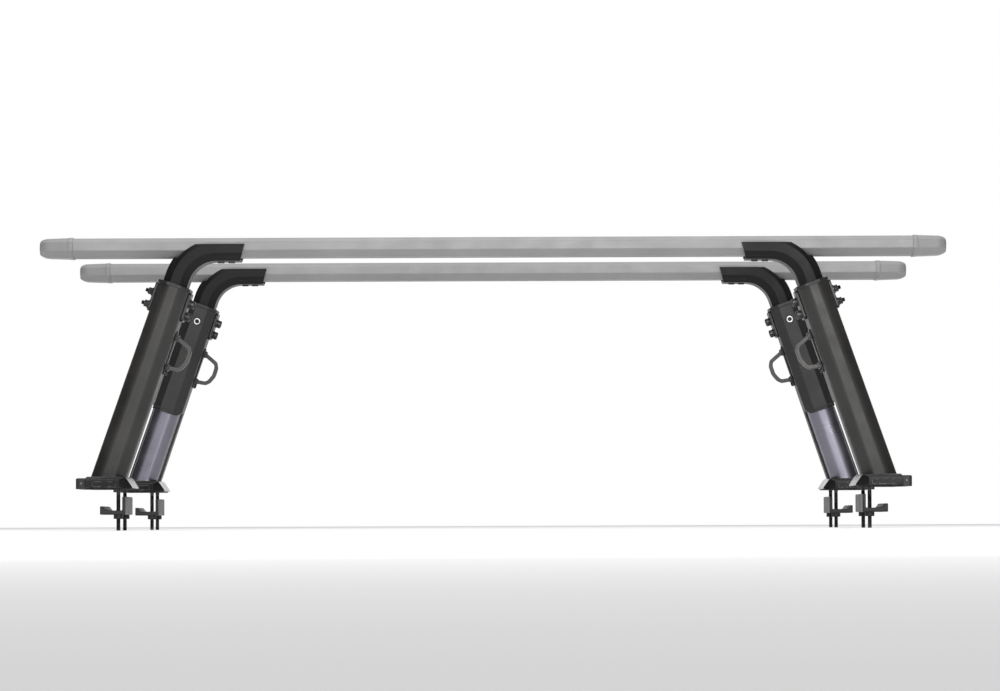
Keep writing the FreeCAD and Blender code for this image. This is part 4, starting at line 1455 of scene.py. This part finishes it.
    def screws(self, replaces: Sequence[str]) -> bpy.types.Object:
        """Build the jaw's socket screws with threads.

        Args:
            replaces: Nodes of the frame that the piece stands for.

        Returns:
            The finished piece.
        """
        form = Form()
        radius = self.bolt_r
        for end in (-1, 1):
            profile = [(0, -self.bolt_low), (radius - 0.9 * MM, -self.bolt_low)]
            turns = int((self.bolt_low - 6 * MM) / THREAD_PITCH)
            for number in range(turns):
                along = -self.bolt_low + 0.8 * MM + THREAD_PITCH * number
                profile += [(radius, along), (radius - 0.55 * MM, along + THREAD_PITCH / 2)]
            seat = self.height - self.well_depth
            profile += [(radius, -4 * MM), (radius, seat), (6.5 * MM, seat),
                        (6.5 * MM, self.height - 1.6 * MM), (5.9 * MM, self.height - 1 * MM),
                        (0, self.height - 1 * MM)]
            screw = Form.lathe(profile, (-self.bolt_x, end * self.bolt_y, 0), steps=24)
            screw.carve(Form.rod(3.46 * MM, self.height - 5 * MM, self.height + 5 * MM,
                                 (-self.bolt_x, end * self.bolt_y), sides=6))
            form.add(screw)
        form.place(self.stand.matrix(leaning=False))
        return form.dress(f"jaw_screw_{self.stand.name}", DARK_STEEL, TOWERS, replaces)


# ---------------------------------------------------------------------------
# Crossbars
# ---------------------------------------------------------------------------

@dataclass
class Crossbar:
    """Extruded bar with its strip and end caps, one for each row."""

    row: str
    half: float = 38 * MM
    tall: float = 37 * MM
    low_cut: float = 13 * MM
    high_cut: tuple[float, float] = (14 * MM, 7.6 * MM)
    cap_proud: float = 1.4 * MM
    rim_long: float = 8 * MM
    rim_step: float = 1.2 * MM
    step_scale: float = 0.965
    body_scale: float = 0.915
    body_share: float = 0.7
    nose_shrink: float = 0.42
    nose_turn: float = math.radians(82)
    nose_steps: int = 9
    ribs: int = 5
    rib_half: float = 0.62 * MM
    rib_pitch: float = 2.12 * MM

    def __post_init__(self) -> None:
        """Read the bar's place from the frame."""
        low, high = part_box(f"crossbar_{self.row}")
        self.reach = high.x
        self.middle = (low.y + high.y) / 2
        self.bottom = low.z
        self.body = f"{self.row}_bar"
        self.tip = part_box(f"bar_end_caps_{self.row}")[1].x
        self.strip_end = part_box(f"bar_strip_{self.row}")[1].x

    def settle(self, form: Form) -> Form:
        """Move a form from the bar's own section to its place."""
        return form.place(Matrix.Translation((0, self.middle, self.bottom)))

    def rim(self, grow: float = 0.0) -> list[Point2]:
        """Outline the bar without its slots.

        Args:
            grow: How much larger the outline is all round.

        Returns:
            The outline's corners.
        """
        right = [(self.half - self.low_cut + MITRE * grow, -grow),
                 (self.half + grow, self.low_cut - MITRE * grow),
                 (self.half + grow, self.tall - self.high_cut[1] + 0.3 * grow),
                 (self.half - self.high_cut[0] + 0.25 * grow, self.tall + grow)]
        return right + [(-y, z) for y, z in reversed(right)]

    def bar(self) -> bpy.types.Object:
        """Build the extrusion with its upper slot and its lower T-slot.

        Returns:
            The finished piece.
        """
        top = self.tall
        form = Form.prism(self.rim(), -self.reach, self.reach, Axis.X)
        form.round(1.3 * MM, 3, lambda edge: abs((edge.verts[0].co - edge.verts[1].co).x) > 1)

        def slot(corners: Sequence[Point2]) -> Form:
            """Cutter with a symmetric section along the whole bar."""
            outline = list(corners) + [(-y, z) for y, z in reversed(corners)]
            return Form.prism([(y * MM, z * MM) for y, z in outline], -0.9, 0.9, Axis.X)
        height = top / MM
        form.carve(slot([(5.5, height + 9), (5.5, height - 2.2), (10.5, height - 2.2),
                         (10.5, height - 7.5)]),
                   slot([(4.5, -9), (4.5, 2.5), (9, 2.5), (9, 8.5)]))
        return self.settle(form).dress(f"bar_extrusion_{self.row}", BAR_ALUMINIUM, self.body,
                                       [f"crossbar_{self.row}"], edge=0.35 * MM)

    def strip(self) -> bpy.types.Object:
        """Build the rubber strip with its long ribs.

        Returns:
            The finished piece.
        """
        top = self.tall - 0.2 * MM
        right = [(10.2 * MM, self.tall - 7.3 * MM), (10.2 * MM, self.tall - 2.4 * MM),
                 (5.3 * MM, self.tall - 2.4 * MM), (5.3 * MM, top - 0.9 * MM)]
        outline = list(right)
        for number in range(self.ribs):
            centre = ((self.ribs - 1) / 2 - number) * self.rib_pitch
            outline += [(centre + self.rib_half, top), (centre - self.rib_half, top)]
            if number < self.ribs - 1:
                outline.append((centre - self.rib_pitch / 2, top - 0.8 * MM))
        outline += [(-y, z) for y, z in reversed(right)]
        form = Form.prism(outline, -self.strip_end, self.strip_end, Axis.X)
        return self.settle(form).dress(f"bar_tread_{self.row}", BAR_RUBBER, self.body,
                                       [f"bar_strip_{self.row}"])

    def cap(self, side: int) -> Form:
        """Build one end cap: a flared rim, a tapered body and a rounded nose.

        Args:
            side: Side of the truck, -1 or 1.

        Returns:
            The cap in the bar's own section.
        """
        middle = self.tall / 2
        run = self.tip - self.reach

        def nose(grow: float, scale: float) -> list[Point2]:
            """Outline shrunk towards the middle of the section."""
            return [(y * scale, middle + (z - middle) * scale) for y, z in self.rim(grow)]
        proud = self.cap_proud
        body = self.body_share
        sections = [(0.0, nose(proud, 1.0)), (self.rim_long, nose(proud, 1.0)),
                    (self.rim_long + self.rim_step, nose(proud, self.step_scale)),
                    (body * run, nose(proud, self.body_scale))]
        for step in range(1, self.nose_steps + 1):
            angle = self.nose_turn * step / self.nose_steps
            place = body + (1 - body) * math.sin(angle) / math.sin(self.nose_turn)
            scale = self.body_scale - self.nose_shrink * (1 - math.cos(angle))
            sections.append((run * place, nose(proud, scale)))
        form = Form.loft([(self.reach + place, corners) for place, corners in sections],
                         Axis.X)
        form.round(1.6 * MM, 3, lambda edge: abs((edge.verts[0].co - edge.verts[1].co)
                                                 .normalized().x) > 0.5
                   and edge.calc_face_angle() > math.radians(20))
        plug = Form.prism(self.rim(-4 * MM), self.reach - 6 * MM, self.reach + 1 * MM, Axis.X)
        form.add(plug)
        if side < 0:
            form.place(Matrix.Scale(-1, 4, (1, 0, 0)))
            form.outwards()
        return form

    def caps(self) -> bpy.types.Object:
        """Build both end caps.

        Returns:
            The finished piece.
        """
        form = self.cap(1)
        form.add(self.cap(-1))
        return self.settle(form).dress(f"bar_caps_{self.row}", BAR_CAP, self.body,
                                       [f"bar_end_caps_{self.row}"], edge=0.5 * MM)


# ---------------------------------------------------------------------------
# Pieces kept from the frame
# ---------------------------------------------------------------------------

KEPT = {"saddle_pad": RUBBER, "saddle_bolts": DARK_STEEL, "mast_glides": GLIDE_PLASTIC}


def dress_kept_nodes() -> None:
    """Give the frame's own nodes that stay in view their finishes."""
    for name, node in frame["nodes"].items():
        for start, finish in KEPT.items():
            if name.startswith(start):
                node.data.materials.clear()
                node.data.materials.append(finish.material())


# ---------------------------------------------------------------------------
# Studio
# ---------------------------------------------------------------------------

@dataclass(frozen=True)
class SoftLight:
    """A square soft light that hangs at one place and points at another."""

    name: str
    place: tuple[float, float, float]
    aim: tuple[float, float, float]
    size: float
    power: float

    def hang(self) -> None:
        """Add the light to the scene and aim it."""
        lamp = bpy.data.lights.new(self.name, "AREA")
        lamp.shape = "SQUARE"
        lamp.size = self.size
        lamp.energy = self.power
        holder = bpy.data.objects.new(self.name, lamp)
        holder.location = self.place
        beam = Vector(self.aim) - Vector(self.place)
        holder.rotation_euler = beam.to_track_quat("-Z", "Y").to_euler()
        bpy.context.scene.collection.objects.link(holder)


SOFT_LIGHTS = (SoftLight("key", (-0.5, -7.5, 3.2), (0, 0, 0.25), 3.0, 105),
               SoftLight("fill", (1.0, -7.3, 1.6), (0, 0, 0.25), 2.4, 130),
               SoftLight("top", (0, 0.2, 5.0), (0, 0, 0.2), 3.4, 110))


@dataclass
class Studio:
    """Pale floor, soft lights, the backdrop and the camera."""

    floor_half: float = 14.0
    floor_drop: float = 0.5 * MM
    floor_tone: float = 0.86
    floor_glow: float = 0.1
    fade_start: float = 0.15
    fade_end: float = 0.8
    side_glow: float = 0.07
    camera_at: tuple[float, float, float] = (0.0, -9.148, -0.068)
    pitch: float = 2.232
    yaw: float = 0.082
    roll: float = -0.22
    lens: float = 164.7
    sensor: float = 36.0
    far: float = 200.0

    def floor(self) -> None:
        """Lay the floor at the lowest point of the rack."""
        form = Form()
        bmesh.ops.create_grid(form.mesh, x_segments=1, y_segments=1, size=self.floor_half)
        form.place(Matrix.Translation((0, 0, CAD_BOX[0][2] - self.floor_drop)))
        mesh = bpy.data.meshes.new("floor")
        form.mesh.to_mesh(mesh)
        form.mesh.free()
        floor = bpy.data.objects.new("floor", mesh)
        bpy.context.scene.collection.objects.link(floor)
        bench = NodeBench("floor")
        tone = self.floor_tone
        bench.shader.inputs["Base Color"].default_value = (tone, tone, tone, 1)
        bench.shader.inputs["Roughness"].default_value = 0.9
        bench.shader.inputs["Emission Color"].default_value = (1, 1, 1, 1)
        bench.shader.inputs["Emission Strength"].default_value = self.floor_glow
        mesh.materials.append(bench.material)

    def backdrop(self) -> None:
        """Set a white backdrop whose glow on the rack fades towards both sides."""
        world = bpy.data.worlds.new("studio")
        bpy.context.scene.world = world
        world.use_nodes = True
        tree = world.node_tree
        background = tree.nodes["Background"]
        background.inputs["Color"].default_value = (1.0, 1.0, 1.0, 1)
        direction = tree.nodes.new("ShaderNodeTexCoord")
        parts = tree.nodes.new("ShaderNodeSeparateXYZ")
        sideways = tree.nodes.new("ShaderNodeMath")
        sideways.operation = "ABSOLUTE"
        fade = tree.nodes.new("ShaderNodeMapRange")
        fade.interpolation_type = "SMOOTHSTEP"
        for key, value in (("From Min", self.fade_start), ("From Max", self.fade_end),
                           ("To Min", 1.0), ("To Max", self.side_glow)):
            fade.inputs[key].default_value = value
        tree.links.new(direction.outputs["Generated"], parts.inputs["Vector"])
        tree.links.new(parts.outputs["X"], sideways.inputs[0])
        tree.links.new(sideways.outputs["Value"], fade.inputs["Value"])
        path = tree.nodes.new("ShaderNodeLightPath")
        white = tree.nodes.new("ShaderNodeMath")
        white.operation = "MAXIMUM"
        tree.links.new(fade.outputs["Result"], white.inputs[0])
        tree.links.new(path.outputs["Is Camera Ray"], white.inputs[1])
        tree.links.new(white.outputs["Value"], background.inputs["Strength"])
        bpy.context.scene.view_settings.view_transform = "Standard"

    def camera(self) -> None:
        """Set the camera behind the rack, a little below its crossbars."""
        data = bpy.data.cameras.new("camera")
        data.lens = self.lens
        data.sensor_width = self.sensor
        data.clip_end = self.far
        camera = bpy.data.objects.new("camera", data)
        turn = (Matrix.Rotation(math.radians(-self.yaw), 4, "Z")
                @ Matrix.Rotation(math.radians(90 + self.pitch), 4, "X")
                @ Matrix.Rotation(math.radians(self.roll), 4, "Z"))
        camera.matrix_world = Matrix.Translation(self.camera_at) @ turn
        bpy.context.scene.collection.objects.link(camera)
        bpy.context.scene.camera = camera


def build_towers(stands: Sequence[Stand]) -> None:
    """Build all pieces of the four towers.

    Args:
        stands: Where the towers stand.
    """
    for number, stand in enumerate(stands):
        first = number == 0

        def group(node: str) -> list[str]:
            """Let the first tower's piece stand for a node that all towers share."""
            return [node] if first else []
        tube = TowerTube(stand)
        hardware = TowerHardware(stand)
        foot = FootSet(stand)
        made = [tube.mast(), tube.shell(), tube.cover(), tube.collar(group("collars")),
                hardware.plates(group("clamp_plates")), hardware.washers(group("clamp_washers")),
                hardware.bolts(group("clamp_bolts")), hardware.nuts(group("clamp_nuts")),
                hardware.barrel(group("lock_barrels")), hardware.plug(), hardware.loop(),
                hardware.bracket(group("loop_brackets")),
                hardware.loop_screw(group("loop_screws")), Arm(stand).build(), foot.casting(),
                foot.end_cap(group("foot_end_caps")), foot.cap_screws(group("foot_cap_screws")),
                foot.rubber(group("foot_pads")), foot.jaw(), foot.screws(group("jaw_bolts"))]
        for piece in made:
            LOG.info("built %s", piece.name)


def main() -> None:
    """Build the rack's looks in order and report each piece."""
    logging.basicConfig(level=logging.INFO, format="%(message)s")
    studio = Studio()
    studio.camera()
    build_towers(read_stands())
    for row in ("rear", "front"):
        crossbar = Crossbar(row)
        for piece in (crossbar.bar(), crossbar.strip(), crossbar.caps()):
            LOG.info("built %s", piece.name)
    dress_kept_nodes()
    studio.floor()
    for light in SOFT_LIGHTS:
        light.hang()
    studio.backdrop()


if __name__ == "__main__":
    main()
